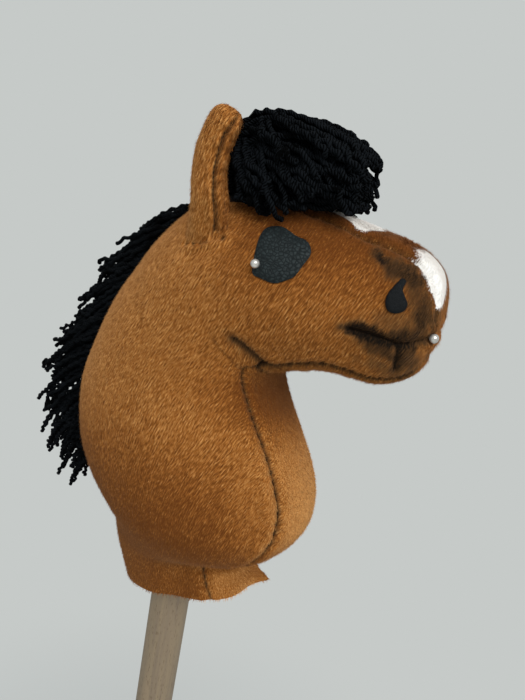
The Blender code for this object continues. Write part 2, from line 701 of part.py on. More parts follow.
def forelock(tape_mat, yarn_mat, parent):
    """The pad between the ears, and three bundles of yarn in each of two layers."""
    step = np.linalg.norm(skin(FORELOCK_SECTION + 0.5, 0) - skin(FORELOCK_SECTION - 0.5, 0))
    half_rows = FORELOCK_PAD_LENGTH / 2 / step
    sections = np.linspace(FORELOCK_SECTION - half_rows, FORELOCK_SECTION + half_rows, 6)
    half = turn_at(sections, FORELOCK_PAD_WIDTH / 2)
    tape("forelock_tape", sections, spread(-half, half, 6), tape_mat, parent)
    number = 0
    for line, thickness in ((FORELOCK_LOWER, FORELOCK_LOWER_THICKNESS),
                            (FORELOCK_UPPER, FORELOCK_UPPER_THICKNESS)):
        for column in (-1, 0, 1):
            number += 1
            forelock_lock(number, line, thickness, column, yarn_mat, parent)


def forelock_lock(number, line, thickness, column, mat, parent):
    """One bundle of the forelock; beside the middle it leans out round the brow."""
    count = 8
    reach = (len(line) - 1) * (1 - FORELOCK_SHORTER * (column + 1) / 2)
    pitch = FORELOCK_LOCK_WIDTH + FORELOCK_LOCK_GAP
    path, ups = [], []
    for x, z in curve_through(line, np.linspace(0, reach, count)) * MM:
        radius = z - BROW_MIDDLE
        lean = column * pitch / radius
        path.append((x, radius * math.sin(lean), BROW_MIDDLE + radius * math.cos(lean)))
        ups.append((0, math.sin(lean), math.cos(lean)))
    fullness = [0.7, 0.95, 1.0, 1.0, 1.0, 0.97, 0.86, 0.58]
    if line is FORELOCK_UPPER:
        # the upper bundles stand close together on the pad before they bend over
        turn = 0.76 * column * pitch / (skin(FORELOCK_ROOT, 0)[2] - BROW_MIDDLE)
        lift = FIT + TAPE_THICKNESS + FIT
        root = skin(FORELOCK_ROOT, turn) + lift * skin_normal(FORELOCK_ROOT, turn)
        path = [root, root + 4 * MM * skin_normal(FORELOCK_ROOT, turn)] + path
        ups = [(-1, 0, 0.2)] * 3 + ups[1:]
        fullness = [0.66, 0.7, 0.86, 0.97] + fullness[2:]
    sizes = [(FORELOCK_LOCK_WIDTH * f, thickness * f) for f in fullness]
    swept("forelock_lock_%d" % number, path, sizes, ups, 10, mat, parent, power=2.4)


def main():
    clear_scene()
    plush = make_material("chestnut_plush", (0.27, 0.105, 0.028), 0.95)
    lining = make_material("chestnut_plush_lining", (0.24, 0.09, 0.025), 0.95)
    fibre = make_material("polyester_fibre", (0.85, 0.85, 0.82), 0.9)
    beech = make_material("beech", (0.60, 0.43, 0.25), 0.55)
    yarn = make_material("black_yarn", (0.008, 0.008, 0.009), 0.9)
    webbing = make_material("black_tape", (0.012, 0.012, 0.013), 0.85)
    leatherette = make_material("black_leatherette", (0.02, 0.025, 0.03), 0.45)
    thread = make_material("dark_thread", (0.015, 0.01, 0.006), 0.8)
    pearl = make_material("pearl", (0.85, 0.84, 0.80), 0.2)
    steel = make_material("pin_steel", (0.6, 0.6, 0.6), 0.25, 1.0)

    stick(beech)
    head = make_empty("head_on_stick", (0, 0, HEM_HEIGHT))
    tree = skin_tree()

    side_panels(plush, head)
    gussets(plush, head)
    filled_head = stuffing("head_stuffing", 0.0, POLL - 0.12, fibre, head, nose=True)
    filled_neck = stuffing("neck_stuffing", POLL + 0.12, STUFFING_END, fibre, head)
    socket = make_cutter("stick_socket", STICK_RADIUS + FIT, 2 * STICK_IN_HEAD + FIT,
                         (0, 0, -STICK_IN_HEAD), head, 32)
    cut(filled_neck, socket)

    for side in (-1, 1):
        name = side_name(side)
        panel = bpy.data.objects["side_panel_" + name]
        ear(side, tree, plush, lining, head)
        patch = side_patch("eye_patch_" + name, tree, side, EYE_PLACE, EYE_OUTLINE, leatherette,
                           head)
        side_patch("nostril_patch_" + name, tree, side, NOSTRIL_PLACE, NOSTRIL_OUTLINE,
                   leatherette, head)
        mouth_thread(tree, side, thread, head)
        seat, normal = on_side(tree, side, *EYE_PIN_PLACE)
        pin(name + "_eye_pin", seat, normal, FIT + PATCH_THICKNESS,
            (patch, panel, filled_head), (pearl, steel), head)

    turn = math.radians(MOUTH_PIN_TURN)
    outward = Vector(skin_normal(MOUTH_PIN_SECTION, turn))
    outward.z = outward.xy.length * math.tan(math.radians(MOUTH_PIN_RISE))
    pin("mouth_pin", skin(MOUTH_PIN_SECTION, turn), outward.normalized(), 0.0,
        (bpy.data.objects["side_panel_right"], filled_head), (pearl, steel), head)

    mane(webbing, yarn, head)
    forelock(webbing, yarn, head)


main()
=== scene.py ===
# %% [markdown]
# # A stuffed horse's head on a stick
# This lesson dresses a hobby horse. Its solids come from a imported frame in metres: a beech dowel up
# the Z axis, a padded plush head that looks along +X, yarn for hair and three pearl-headed pins.
# Hard pieces could keep their solids and only get a finish. Cloth, filling and yarn can't, so each
# of them is worked out again here as a fine surface in the same place.

# %% Load the frame
import math

import bpy
import numpy as np
from mathutils import Matrix, Vector


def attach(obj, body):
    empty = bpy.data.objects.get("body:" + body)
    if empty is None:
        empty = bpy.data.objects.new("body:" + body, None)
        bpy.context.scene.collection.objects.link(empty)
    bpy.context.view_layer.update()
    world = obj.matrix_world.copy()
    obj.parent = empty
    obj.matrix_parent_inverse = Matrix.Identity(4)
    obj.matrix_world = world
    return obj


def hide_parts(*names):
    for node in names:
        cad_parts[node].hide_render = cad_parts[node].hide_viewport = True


MM = 0.001
SIDES = ((-1, "right"), (1, "left"))   # -Y is the horse's right
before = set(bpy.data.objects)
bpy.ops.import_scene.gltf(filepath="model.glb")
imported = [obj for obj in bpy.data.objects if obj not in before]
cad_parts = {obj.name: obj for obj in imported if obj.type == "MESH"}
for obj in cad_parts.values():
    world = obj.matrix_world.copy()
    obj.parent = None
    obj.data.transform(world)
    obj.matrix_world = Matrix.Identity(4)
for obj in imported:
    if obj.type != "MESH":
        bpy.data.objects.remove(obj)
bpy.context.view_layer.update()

# %% [markdown]
# ## Where the picture was taken from
# The stick leans in the picture although it stands upright, because the camera was tipped down and
# held a little crooked. One way is to turn the object; here the camera is turned instead, by its
# heading, its downward tilt and its roll, so that the object keeps standing straight.

# %% Camera
CAMERA_PLACE = (0.14568, -0.25489, 0.80647)
CAMERA_HEADING, CAMERA_TILT, CAMERA_ROLL = 24.0, 16.373, 10.692   # degrees
FOCAL_PIXELS, PICTURE_HEIGHT = 540.0, 700.0

camera = bpy.data.objects.new("camera", bpy.data.cameras.new("camera"))
camera.data.sensor_fit = "VERTICAL"
camera.data.sensor_height = 36.0
camera.data.lens = 36.0 * FOCAL_PIXELS / PICTURE_HEIGHT
camera.data.clip_start = 0.01
camera.matrix_world = (
    Matrix.Translation(CAMERA_PLACE)
    @ Matrix.Rotation(math.radians(CAMERA_HEADING), 4, "Z")
    @ Matrix.Rotation(math.radians(90 - CAMERA_TILT), 4, "X")
    @ Matrix.Rotation(math.radians(CAMERA_ROLL), 4, "Z")
)
bpy.context.scene.collection.objects.link(camera)
bpy.context.scene.camera = camera
bpy.context.scene.view_settings.view_transform = "Standard"
print("camera lens in mm:", round(camera.data.lens, 2))

# %% [markdown]
# ## Colours and nodes
# Colours are read off as sRGB hex values, the way they look on a screen, but a renderer adds up
# light, so each is turned to a linear value once, here. One helper adds a node with its settings
# and its links, which keeps each material as short as a list.


# %% Helpers for materials
def linear(colour):
    """sRGB hex to linear: c / 12.92 up to 0.04045, above it ((c + 0.055) / 1.055) ** 2.4."""
    c = np.array([int(colour[i:i + 2], 16) for i in (1, 3, 5)]) / 255
    c = np.where(c <= 0.04045, c / 12.92, ((c + 0.055) / 1.055) ** 2.4)
    return (*c.tolist(), 1.0)


def add(tree, kind, settings=None, inputs=None, out=0):
    """Adds a node, sets its settings, fills or links its inputs and returns one of its outputs."""
    node = tree.nodes.new(kind)
    for key, value in (settings or {}).items():
        setattr(node, key, value)
    for key, value in (inputs or {}).items():
        if isinstance(value, bpy.types.NodeSocket):
            tree.links.new(value, node.inputs[key])
        else:
            node.inputs[key].default_value = value
    return node.outputs[out]


def new_material(name, **sockets):
    """A material with one Principled shader; the sockets are set on it directly."""
    material = bpy.data.materials.new(name)
    material.use_nodes = True
    shader = material.node_tree.nodes["Principled BSDF"]
    for key, value in sockets.items():
        shader.inputs[key.replace("_", " ")].default_value = value
    return material, material.node_tree, shader


def ramp(tree, factor, stops):
    """A colour ramp from (position, hex colour) stops."""
    node = tree.nodes.new("ShaderNodeValToRGB")
    node.color_ramp.elements.remove(node.color_ramp.elements[1])
    for i, (position, colour) in enumerate(stops):
        stop = node.color_ramp.elements[0] if i == 0 else node.color_ramp.elements.new(position)
        stop.position, stop.color = position, linear(colour)
    tree.links.new(factor, node.inputs["Fac"])
    return node.outputs["Color"]


def mixed(tree, factor, first, second):
    """Two colours, mixed by a factor."""
    return add(tree, "ShaderNodeMix", {"data_type": "RGBA"}, {0: factor, 6: first, 7: second}, out=2)


def sums(tree, operation, first, second=0.0):
    """One arithmetic step between two values."""
    return add(tree, "ShaderNodeMath", {"operation": operation}, {0: first, 1: second})


def times(tree, first, second):
    """The product of two values."""
    return sums(tree, "MULTIPLY", first, second)


def total(tree, *terms):
    """The terms added up, from the first to the last."""
    result = terms[0]
    for term in terms[1:]:
        result = sums(tree, "ADD", result, term)
    return result


def ranged(tree, value, settings=None, **limits):
    """A value mapped from one range to another and held inside it."""
    return add(tree, "ShaderNodeMapRange", settings,
               {"Value": value, **{key.replace("_", " "): limit for key, limit in limits.items()}})


def own_place(tree):
    """Object coordinates: they stay with a piece when it moves."""
    return add(tree, "ShaderNodeTexCoord", out=3)


def stored(tree, key):
    """A value that is stored at each point of the mesh."""
    return add(tree, "ShaderNodeAttribute", {"attribute_name": key}, out=2)


def scaled(tree, place, per_metre):
    """A place times the number of cells to the metre, so that a pattern's cell has a real size."""
    return add(tree, "ShaderNodeMapping", {"vector_type": "POINT"},
               {"Vector": place, "Scale": (np.ones(3) * per_metre).tolist()})


def noise_texture(tree, per_metre, detail, roughness=0.5, place=None):
    """Smooth noise with so many cells to the metre along X, Y and Z."""
    where = scaled(tree, own_place(tree) if place is None else place, per_metre)
    return add(tree, "ShaderNodeTexNoise", None,
               {"Vector": where, "Scale": 1.0, "Detail": detail, "Roughness": roughness})


def surface(tree, shader, colour, height=None, strength=1.0, deep=0.0, roughness=None):
    """Links the colour and, where given, a bump that is so many metres deep and a roughness."""
    tree.links.new(colour, shader.inputs["Base Color"])
    if height is not None:
        tree.links.new(add(tree, "ShaderNodeBump", None,
                           {"Height": height, "Strength": strength, "Distance": deep}),
                       shader.inputs["Normal"])
    if roughness is not None:
        tree.links.new(roughness, shader.inputs["Roughness"])


print("black, mid grey and white turn to", [round(linear(c)[0], 3) for c in
                                            ("#000000", "#808080", "#ffffff")])

# %% [markdown]
# ## Light and background
# The toy was photographed against a pale wall in soft daylight that comes from in front and a
# little from the right. One wide lamp stands for the window and a pale world fills the rest, at a
# level at which a colour shows about as it is written. The floor keeps the object's shadow near
# the stick and fades into the colour of the background, so that no line shows where they meet.

# %% Lamp, world and floor
WALL = "#c6cac8"
ROOM, ROOM_STRENGTH = "#f4f6f8", 0.62
LAMP_PLACE, LAMP_AIM = Vector((1.05, -1.15, 2.0)), Vector((0, 0, 0.74))
LAMP_WIDE, LAMP_HIGH, LAMP_WATTS = 1.4, 1.2, 33.0
SHADOW_FULL, SHADOW_GONE = 0.12, 0.6   # metres from the stick
FLOOR_HALF = 8.0

lamp = bpy.data.objects.new("window", bpy.data.lights.new("window", "AREA"))
lamp.data.shape = "RECTANGLE"
lamp.data.size, lamp.data.size_y, lamp.data.energy = LAMP_WIDE, LAMP_HIGH, LAMP_WATTS
lamp.matrix_world = (Matrix.Translation(LAMP_PLACE)
                     @ (LAMP_PLACE - LAMP_AIM).to_track_quat("Z", "Y").to_matrix().to_4x4())
bpy.context.scene.collection.objects.link(lamp)

world = bpy.data.worlds.new("room")
world.use_nodes = True
bpy.context.scene.world = world
sky = world.node_tree
rays = add(sky, "ShaderNodeLightPath").node.outputs
plain = sums(sky, "MAXIMUM", rays["Is Camera Ray"],
             sums(sky, "MAXIMUM", rays["Is Glossy Ray"], rays["Is Transmission Ray"]))
wall_light = add(sky, "ShaderNodeBackground", None, {"Color": linear(WALL), "Strength": 1.0})
room_light = add(sky, "ShaderNodeBackground", None,
                 {"Color": linear(ROOM), "Strength": ROOM_STRENGTH})
sky.links.new(add(sky, "ShaderNodeMixShader", None, {0: plain, 1: room_light, 2: wall_light}),
              sky.nodes["World Output"].inputs["Surface"])

floor_mat, tree, shader = new_material("pale_painted_floor", Roughness=0.9)
shader.inputs["Base Color"].default_value = linear(WALL)
away = add(tree, "ShaderNodeVectorMath", {"operation": "LENGTH"}, {0: own_place(tree)}, out=1)
fade = ranged(tree, away, {"interpolation_type": "SMOOTHSTEP"}, From_Min=SHADOW_FULL,
              From_Max=SHADOW_GONE)
fade = times(tree, fade, add(tree, "ShaderNodeLightPath").node.outputs["Is Camera Ray"])
glow = add(tree, "ShaderNodeEmission", None, {"Color": linear(WALL), "Strength": 1.0})
tree.links.new(add(tree, "ShaderNodeMixShader", None,
                   {0: fade, 1: shader.outputs["BSDF"], 2: glow}),
               tree.nodes["Material Output"].inputs["Surface"])

floor_mesh = bpy.data.meshes.new("floor")
floor_mesh.from_pydata([(x * FLOOR_HALF, y * FLOOR_HALF, 0)
                        for x, y in ((-1, -1), (1, -1), (1, 1), (-1, 1))], [], [(0, 1, 2, 3)])
floor_mesh.materials.append(floor_mat)
floor = bpy.data.objects.new("floor", floor_mesh)
bpy.context.scene.collection.objects.link(floor)
print("window lamp of", LAMP_WATTS, "W over", LAMP_WIDE, "x", LAMP_HIGH, "m")

# %% [markdown]
# ## Surfaces as arrays
# A cloth could be sculpted by hand, but then nobody could repeat it. Here each surface is a grid of
# points from a formula, so the same lines that shape it also measure it. A closed mesh is made of
# one or more arrays of faces; if its volume comes out negative, its faces look inwards and all of
# them are turned round.


# %% Helpers for meshes
def unit(vectors):
    """Each vector divided by its length."""
    return vectors / np.maximum(np.linalg.norm(vectors, axis=-1, keepdims=True), 1e-12)


def volume(points, faces):
    """Sum over the faces' fan triangles of a . (b x c) / 6, from the middle of the points."""
    p = points - points.mean(0)
    return sum(np.einsum("ij,ij->", p[group[:, 0]], np.cross(p[group[:, k]], p[group[:, k + 1]])) / 6
               for group in faces for k in range(1, group.shape[1] - 1))


def new_object(name, points, corners, sizes, material, values):
    """An object with a mesh: points, the faces' corners one after the other, the number of corners
    of each face, and values that are stored at the points."""
    mesh = bpy.data.meshes.new(name)
    mesh.vertices.add(len(points))
    mesh.vertices.foreach_set("co", points.astype(np.float32).ravel())
    mesh.loops.add(len(corners))
    mesh.loops.foreach_set("vertex_index", corners.astype(np.int32))
    mesh.polygons.add(len(sizes))
    mesh.polygons.foreach_set("loop_start", (np.cumsum(sizes) - sizes).astype(np.int32))
    mesh.update(calc_edges=True)
    for key, value in values.items():
        layer = mesh.attributes.new(key, "FLOAT", "POINT")
        layer.data.foreach_set("value", np.asarray(value, np.float32).ravel())
    mesh.materials.append(material)
    piece = bpy.data.objects.new(name, mesh)
    bpy.context.scene.collection.objects.link(piece)
    return piece


def new_piece(name, points, faces, material, body="head", replace=(), values=None, sharp=None):
    """A named piece from points and arrays of faces, each array with its own number of corners."""
    points = np.asarray(points, np.float32).reshape(-1, 3)
    faces = [np.asarray(group) for group in faces if len(group)]
    if volume(points, faces) < 0:
        faces = [group[:, ::-1] for group in faces]
    corners = np.concatenate([group.ravel() for group in faces])
    sizes = np.concatenate([np.full(len(group), group.shape[1]) for group in faces])
    piece = new_object(name, points, corners, sizes, material, values or {})
    piece.data.shade_smooth()
    if sharp:
        piece.data.set_sharp_from_angle(angle=math.radians(sharp))
    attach(piece, body)
    if replace:
        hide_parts(*replace)
    print(f"{name}: {len(points)} points, {int((sizes - 2).sum())} triangles")
    return piece


def grid(rows, columns, start=0, closed=False):
    """Quads between the points of a grid laid out row by row; closed joins the last column."""
    index = start + np.arange(rows * columns).reshape(rows, columns)
    if closed:
        index = np.hstack([index, index[:, :1]])
    return np.stack([index[:-1, :-1], index[:-1, 1:], index[1:, 1:], index[1:, :-1]],
                    -1).reshape(-1, 4)


def fan(ring, middle):
    """Triangles from each step of a closed ring of indices to one middle point."""
    ring = np.asarray(ring)
    return np.stack([ring, np.roll(ring, -1), np.full(len(ring), middle)], -1)


def stacked(rings, poles=None):
    """Points and faces of rings one after the other, closed at both ends by the rings' middle
    points or by the given poles."""
    rings = np.array(rings)
    rows, columns = rings.shape[:2]
    count = rows * columns
    poles = rings[[0, -1]].mean(1) if poles is None else poles
    faces = [grid(rows, columns, closed=True), fan(np.arange(columns), count)[:, ::-1],
             fan(np.arange(count - columns, count), count + 1)]
    return np.vstack([rings.reshape(-1, 3), poles]), faces


# %% [markdown]
# ## Noise with a size
# Filling is never even and pile never lies quite straight. Both are drawn by smooth noise: fixed
# random values at the corners of a lattice, blended inside each cell. Dividing the place by a
# length in metres sets how wide the bumps are.


# %% Noise
def lattice(corner, seed):
    """A fixed value from -1 to 1 for each whole-number corner, from its bits mixed by products."""
    c = (corner.astype(np.int64) & 0xFFFFFFFF).astype(np.uint32)
    h = (c[..., 0] * np.uint32(73856093)) ^ (c[..., 1] * np.uint32(19349663)) \
        ^ (c[..., 2] * np.uint32(83492791)) ^ np.uint32(seed * 1013904223 & 0xFFFFFFFF)
    h = (h ^ (h >> np.uint32(13))) * np.uint32(1274126177)
    h = h ^ (h >> np.uint32(16))
    return h.astype(np.float64) / 2147483647.5 - 1


def noise(places, size, seed=0):
    """Blend of the eight corners' values with weights 3 f^2 - 2 f^3 of the place in its cell."""
    p = np.asarray(places, float) / np.asarray(size, float)
    cell = np.floor(p)
    f = p - cell
    f = f * f * (3 - 2 * f)
    result = 0.0
    for i in range(8):
        bits = np.array([i & 1, i >> 1 & 1, i >> 2 & 1])
        result = result + np.where(bits, f, 1 - f).prod(-1) * lattice(cell + bits, seed)
    return result


def rise(value, first, last):
    """0 up to the first place, 1 from the last, a straight line between them."""
    return np.clip((value - first) / (last - first), 0, 1)


sample = noise(np.random.default_rng(0).uniform(0, 1, (2000, 3)), 0.05)
print("noise spread:", round(float(sample.std()), 2))

# %% [markdown]
# ## The shape of the padded head
# The head and neck are one smooth tube that bends from the muzzle over the poll down to the hem.
# It is described by sections, each an oval between a point on the upper line and a point on the
# lower line. A smooth curve through the sections' numbers fills in what lies between them. The
# table is the one that the solids were made from, so the cloth lies exactly where they are.

# %% Sections
HEM_HEIGHT = 0.570
FIT = 0.3 * MM
CLOTH = 2.0 * MM
# upper point (x, z), lower point (x, z), width across in mm, squareness; heights from the hem's level
SECTIONS = np.array([
    (117.5, 192.0, 117.0, 182.0, 12.0, 2.2), (116.5, 204.0, 115.0, 172.0, 34.0, 2.3),
    (112.5, 214.5, 111.0, 166.0, 48.0, 2.3), (104.5, 221.5, 104.5, 161.0, 57.0, 2.2),
    (93.0, 226.0, 96.0, 157.5, 62.0, 2.2), (80.0, 228.0, 86.5, 157.0, 66.0, 2.2),
    (66.0, 230.5, 76.5, 157.0, 73.0, 2.2), (50.0, 232.5, 65.0, 154.5, 81.0, 2.1),
    (32.0, 233.5, 54.5, 151.5, 86.0, 2.1), (12.0, 233.0, 47.0, 148.5, 88.0, 2.1),
    (-8.0, 227.0, 43.0, 145.5, 88.0, 2.1), (-26.0, 213.0, 42.0, 142.0, 88.0, 2.1),
    (-43.0, 191.0, 44.0, 136.0, 87.0, 2.1), (-58.5, 166.0, 49.0, 128.5, 87.0, 2.1),
    (-71.0, 138.0, 56.0, 119.0, 89.0, 2.1), (-78.0, 109.0, 63.5, 108.0, 93.0, 2.1),
    (-76.0, 83.0, 71.0, 95.0, 97.0, 2.1), (-66.0, 62.0, 76.5, 80.0, 99.0, 2.1),
    (-51.5, 46.0, 77.5, 63.0, 96.0, 2.1), (-43.0, 37.0, 69.0, 47.0, 86.0, 2.1),
    (-42.5, 27.0, 53.0, 36.0, 72.0, 2.1), (-41.0, 13.0, 39.0, 29.0, 58.0, 2.1),
    (-37.0, -1.0, 44.0, 20.0, 51.0, 2.1), (-31.0, -15.0, 54.0, 11.0, 48.0, 2.1),
])
SECTIONS[:, 1] += HEM_HEIGHT / MM
SECTIONS[:, 3] += HEM_HEIGHT / MM
SECTIONS[:, 4] /= 2
SECTIONS[:, :5] *= MM
# section numbers of places along the tube
NOSE_TIP, THROAT, POLL, HEM = 0.45, 9.6, 10.0, 23.0
SKIRT_START, STUFFING_END, BELLY_FOLD, FLAP_START, SKIRT_LOOSE = 19.4, 19.6, 20.15, 20.4, 22.0
WIDEST_SEAM = 0.92   # a seam's distance from the middle plane is at most this share of half the width


def above_hem(numbers):
    """Places in mm, the last number of each being its height above the hem's level, in metres."""
    places = np.array(numbers, float) * MM
    places[..., -1] += HEM_HEIGHT
    return places


def curve_through(knots, t):
    """Catmull-Rom: half of 2b + (c-a) f + (2a-5b+4c-d) f^2 + (3b-a-3c+d) f^3 between knots b, c."""
    knots = np.asarray(knots, float)
    padded = np.vstack([2 * knots[0] - knots[1], knots, 2 * knots[-1] - knots[-2]])
    t = np.asarray(t, float)
    i = np.clip(np.floor(t).astype(int), 0, len(knots) - 2)
    f = (t - i)[..., None]
    a, b, c, d = padded[i], padded[i + 1], padded[i + 2], padded[i + 3]
    return 0.5 * (2 * b + (c - a) * f + (2 * a - 5 * b + 4 * c - d) * f**2
                  + (3 * b - a - 3 * c + d) * f**3)


def skin(section, turn):
    """Section middle + half length * cos * k and half width * sin * k, where turn runs from the
    crest over the left side to the chest, and k = (|cos|^p + |sin|^p)^(-1/p) squares the oval."""
    section, turn = np.broadcast_arrays(np.asarray(section, float), np.asarray(turn, float))
    s = curve_through(SECTIONS, section)
    c, d = np.cos(turn), np.sin(turn)
    k = (np.abs(c) ** s[..., 5] + np.abs(d) ** s[..., 5]) ** (-1 / s[..., 5])
    x = (s[..., 0] + s[..., 2]) / 2 + (s[..., 0] - s[..., 2]) / 2 * c * k
    z = (s[..., 1] + s[..., 3]) / 2 + (s[..., 1] - s[..., 3]) / 2 * c * k
    return np.stack([x, s[..., 4] * d * k, z], -1)


def skin_normal(section, turn):
    """Cross product of a short step round and a short step along the skin, to length 1."""
    h = 1e-3
    along = skin(np.minimum(section + h, HEM), turn) - skin(np.maximum(section - h, 0), turn)
    return unit(np.cross(skin(section, turn + h) - skin(section, turn - h), along))


def turn_at(section, from_middle):
    """arcsin of the distance from the middle plane over half the width."""
    half = curve_through(SECTIONS, section)[..., 4]
    return np.arcsin(np.clip(from_middle / half, 0, WIDEST_SEAM))


def seam_gap(section):
    """Half of the gap beside a seam near the middle plane, as a turn. It is all but shut in the
    skirt, where no filling stands behind the seam."""
    share = np.interp(section, (SKIRT_START, SKIRT_START + 0.4), (1.15, 0.1))
    return FIT / 2 / curve_through(SECTIONS, section)[..., 4] * share


def face_seam(section):
    """Turn of the face strip's edge: 34 mm wide on nose and brow, running out at the poll."""
    return turn_at(section, np.interp(section, (0, 2, 5, POLL - 2.5, POLL),
                                      (13.6, 13.6, 17, 17, 1.5)) * MM)


def low_seam(section):
    """Turn, from the lower line, of the edge of the chin strip and of the chest strip."""
    chin = np.interp(section, (0, 1, 3.3, 6, THROAT), (7.2, 9.6, 16.3, 24, 24))
    chest = np.interp(section, (THROAT, 10.4, 12.5, 15, 17, 18.5, 19.8, 20.7, HEM),
                      (24, 27.5, 23.5, 22.3, 23, 26.5, 24.3, 18.5, 19))
    return turn_at(section, np.where(np.asarray(section) < THROAT, chin, chest) * MM)


print("top of the brow in mm:", np.round(skin(7.0, 0.0) / MM, 1))

# %% [markdown]
# ## Finding a place on the head
# A patch or stitch is placed by where it shows from one side. Rays could be shot at a mesh, but the
# skin is a formula, so Newton's method solves it straight away: start at the nearest sample, then
# step until the place seen along the chosen direction is the wanted one.


# %% Places on the skin
def find_on_skin(wanted, axes, turns, rounds=8):
    """Newton steps on (section, turn) until both axes' coordinates of the skin are the wanted."""
    axes = np.asarray(axes, float)
    s, t = np.meshgrid(np.linspace(0.2, 22.8, 240), np.linspace(*turns, 80), indexing="ij")
    s, t = s.ravel(), t.ravel()
    seen = skin(s, t) @ axes.T
    start = ((seen[None] - wanted[:, None]) ** 2).sum(-1).argmin(1)
    s, t = s[start], t[start]
    small = 1e-4
    for _ in range(rounds):
        here = skin(s, t) @ axes.T
        ds = (skin(s + small, t) @ axes.T - here) / small
        dt = (skin(s, t + small) @ axes.T - here) / small
        miss = wanted - here
        det = ds[:, 0] * dt[:, 1] - ds[:, 1] * dt[:, 0]
        det = np.where(np.abs(det) < 1e-9, 1e-9, det)
        s = s + np.clip((miss[:, 0] * dt[:, 1] - miss[:, 1] * dt[:, 0]) / det, -0.4, 0.4)
        t = t + np.clip((ds[:, 0] * miss[:, 1] - ds[:, 1] * miss[:, 0]) / det, -0.3, 0.3)
        s = np.clip(s, 0.01, HEM)
    return s, t


def on_side(side, x, z):
    """Section and turn of the places that show at x and z from the left (+1) or right (-1)."""
    wanted = np.stack([np.asarray(x, float), np.asarray(z, float)], -1)
    turns = (0.15, math.pi - 0.15) if side > 0 else (math.pi + 0.15, 2 * math.pi - 0.15)
    return find_on_skin(wanted, ((1, 0, 0), (0, 0, 1)), turns)


EYE_MIDDLE = above_hem((49.0, 210.0))
s, t = on_side(-1, EYE_MIDDLE[:1], EYE_MIDDLE[1:])
print("eye patch sits at section", round(float(s[0]), 2), "turn", round(float(t[0]), 2))

# %% [markdown]
# ## What presses into the plush
# Patches, stitches and pins pull the cloth in, and no pile shows through them. Each outline is a
# smooth closed curve round a middle; a place lies inside it if its distance from the middle is less
# than the outline's in the same direction. That one test gives both the dents and the bald spots.

# %% Outlines of patches and paint, in mm round their middles
EYE_OUTLINE = ((-10.2, 10.6), (-4.6, 11.6), (3.0, 9.2), (9.0, 7.8), (12.3, 3.5), (11.0, -1.7),
               (9.0, -6.7), (6.0, -9.2), (1.2, -11.5), (-5.0, -10.8), (-9.4, -9.4), (-10.8, -3.0),
               (-11.8, 3.0), (-12.0, 8.0))
NOSTRIL_MIDDLE = above_hem((100.7, 202.5))
NOSTRIL_OUTLINE = ((-0.8, 8.6), (1.3, 7.8), (1.1, 4.6), (2.7, 2.0), (4.6, -0.9), (4.0, -3.8),
                   (0.9, -5.5), (-2.2, -4.9), (-4.0, -1.9), (-4.0, 1.6), (-3.0, 4.3), (-1.9, 6.6))
MOUTH_LINE = above_hem([(85.2, 186.2), (93, 186), (100, 185.3), (107, 184.6), (112.5, 186)])
# the groove of the mouth goes on past the thread, round the front
LIPS_LINE = np.vstack([MOUTH_LINE[:4], above_hem([(111.2, 185.5), (114.2, 187.4), (117.0, 189.0),
                                                  (121.0, 189.5)])])
CREASE_LINE = above_hem([(104.8, 184.0), (106.0, 181.1), (106.2, 176.7), (106.4, 172.0)])
# the star seen from above (x, y) and the snip seen from the front (y, z)
STAR = ((-17, -3), (-9, -6.2), (0, -11), (6, -14.2), (9.8, -14.2), (12, -10.5), (15, -4), (15.5, 1),
        (13.5, 7), (9.5, 12), (4, 10.5), (-3, 9.5), (-10, 7.5), (-18, 3))
STAR_MIDDLE = np.array([67.0, 0.0]) * MM
SNIP = ((1.9, 9.4), (-4.6, 8.9), (-8.9, 6.0), (-11.8, 2.9), (-13.4, -0.2), (-14.3, -4.8),
        (-12.4, -8.6), (-10.2, -12.6), (-4.6, -11.2), (0.6, -8.0), (5.4, -3.6), (8.6, 1.2),
        (9.0, 5.6), (6.4, 8.8))
SNIP_MIDDLE = np.array([-4.9, 783.4]) * MM


def closed_curve(outline, count):
    """Catmull-Rom curve through the outline's points, round and back to the first."""
    n = len(outline)
    return curve_through(np.array(outline * 3, float), n + np.arange(count) * n / count) * MM


def inside(places, middle, outline, samples=720):
    """How far, in metres, a place lies inside the outline along the line from its middle."""
    rim = closed_curve(outline, samples)
    angle = np.arctan2(rim[:, 1], rim[:, 0])
    order = np.argsort(angle)
    away = places - middle
    reach = np.interp(np.arctan2(away[..., 1], away[..., 0]), angle[order],
                      np.linalg.norm(rim, axis=1)[order], period=2 * math.pi)
    return reach - np.linalg.norm(away, axis=-1)


def to_line(places, line):
    """Distance in the plane from each place to the nearest of a curve's close samples."""
    samples = curve_through(line, np.linspace(0, len(line) - 1, 60))
    return np.sqrt(((places[..., None, :] - samples) ** 2).sum(-1).min(-1))


print("eye patch is", round(float(np.ptp(closed_curve(EYE_OUTLINE, 200)[:, 0]) / MM), 1), "mm long")

# %% [markdown]
# ## Relief of the stuffed plush
# Cloth simulation could blow the cover up, but it can't be told where the real one has its seams,
# dents and folds. Here the padded shape is already known, so only the relief on it is worked out:
# wide lumps of filling, the pull and the puckers of a seam, the groove of the mouth, small dents of
# hand stitches, soft folds in the empty skirt, and the fold between belly and skirt.

# %% Relief
# hand stitches that hold the foot of each ear: section and turn on the right side
EAR_STITCHES = np.array([(10.24, 301.5), (10.01, 299.5), (9.77, 298.2), (9.5, 299.0),
                         (9.32, 299.7), (9.09, 300.5), (9.35, 308.8), (9.4, 305.2),
                         (9.47, 302.3), (9.6, 299.2)])
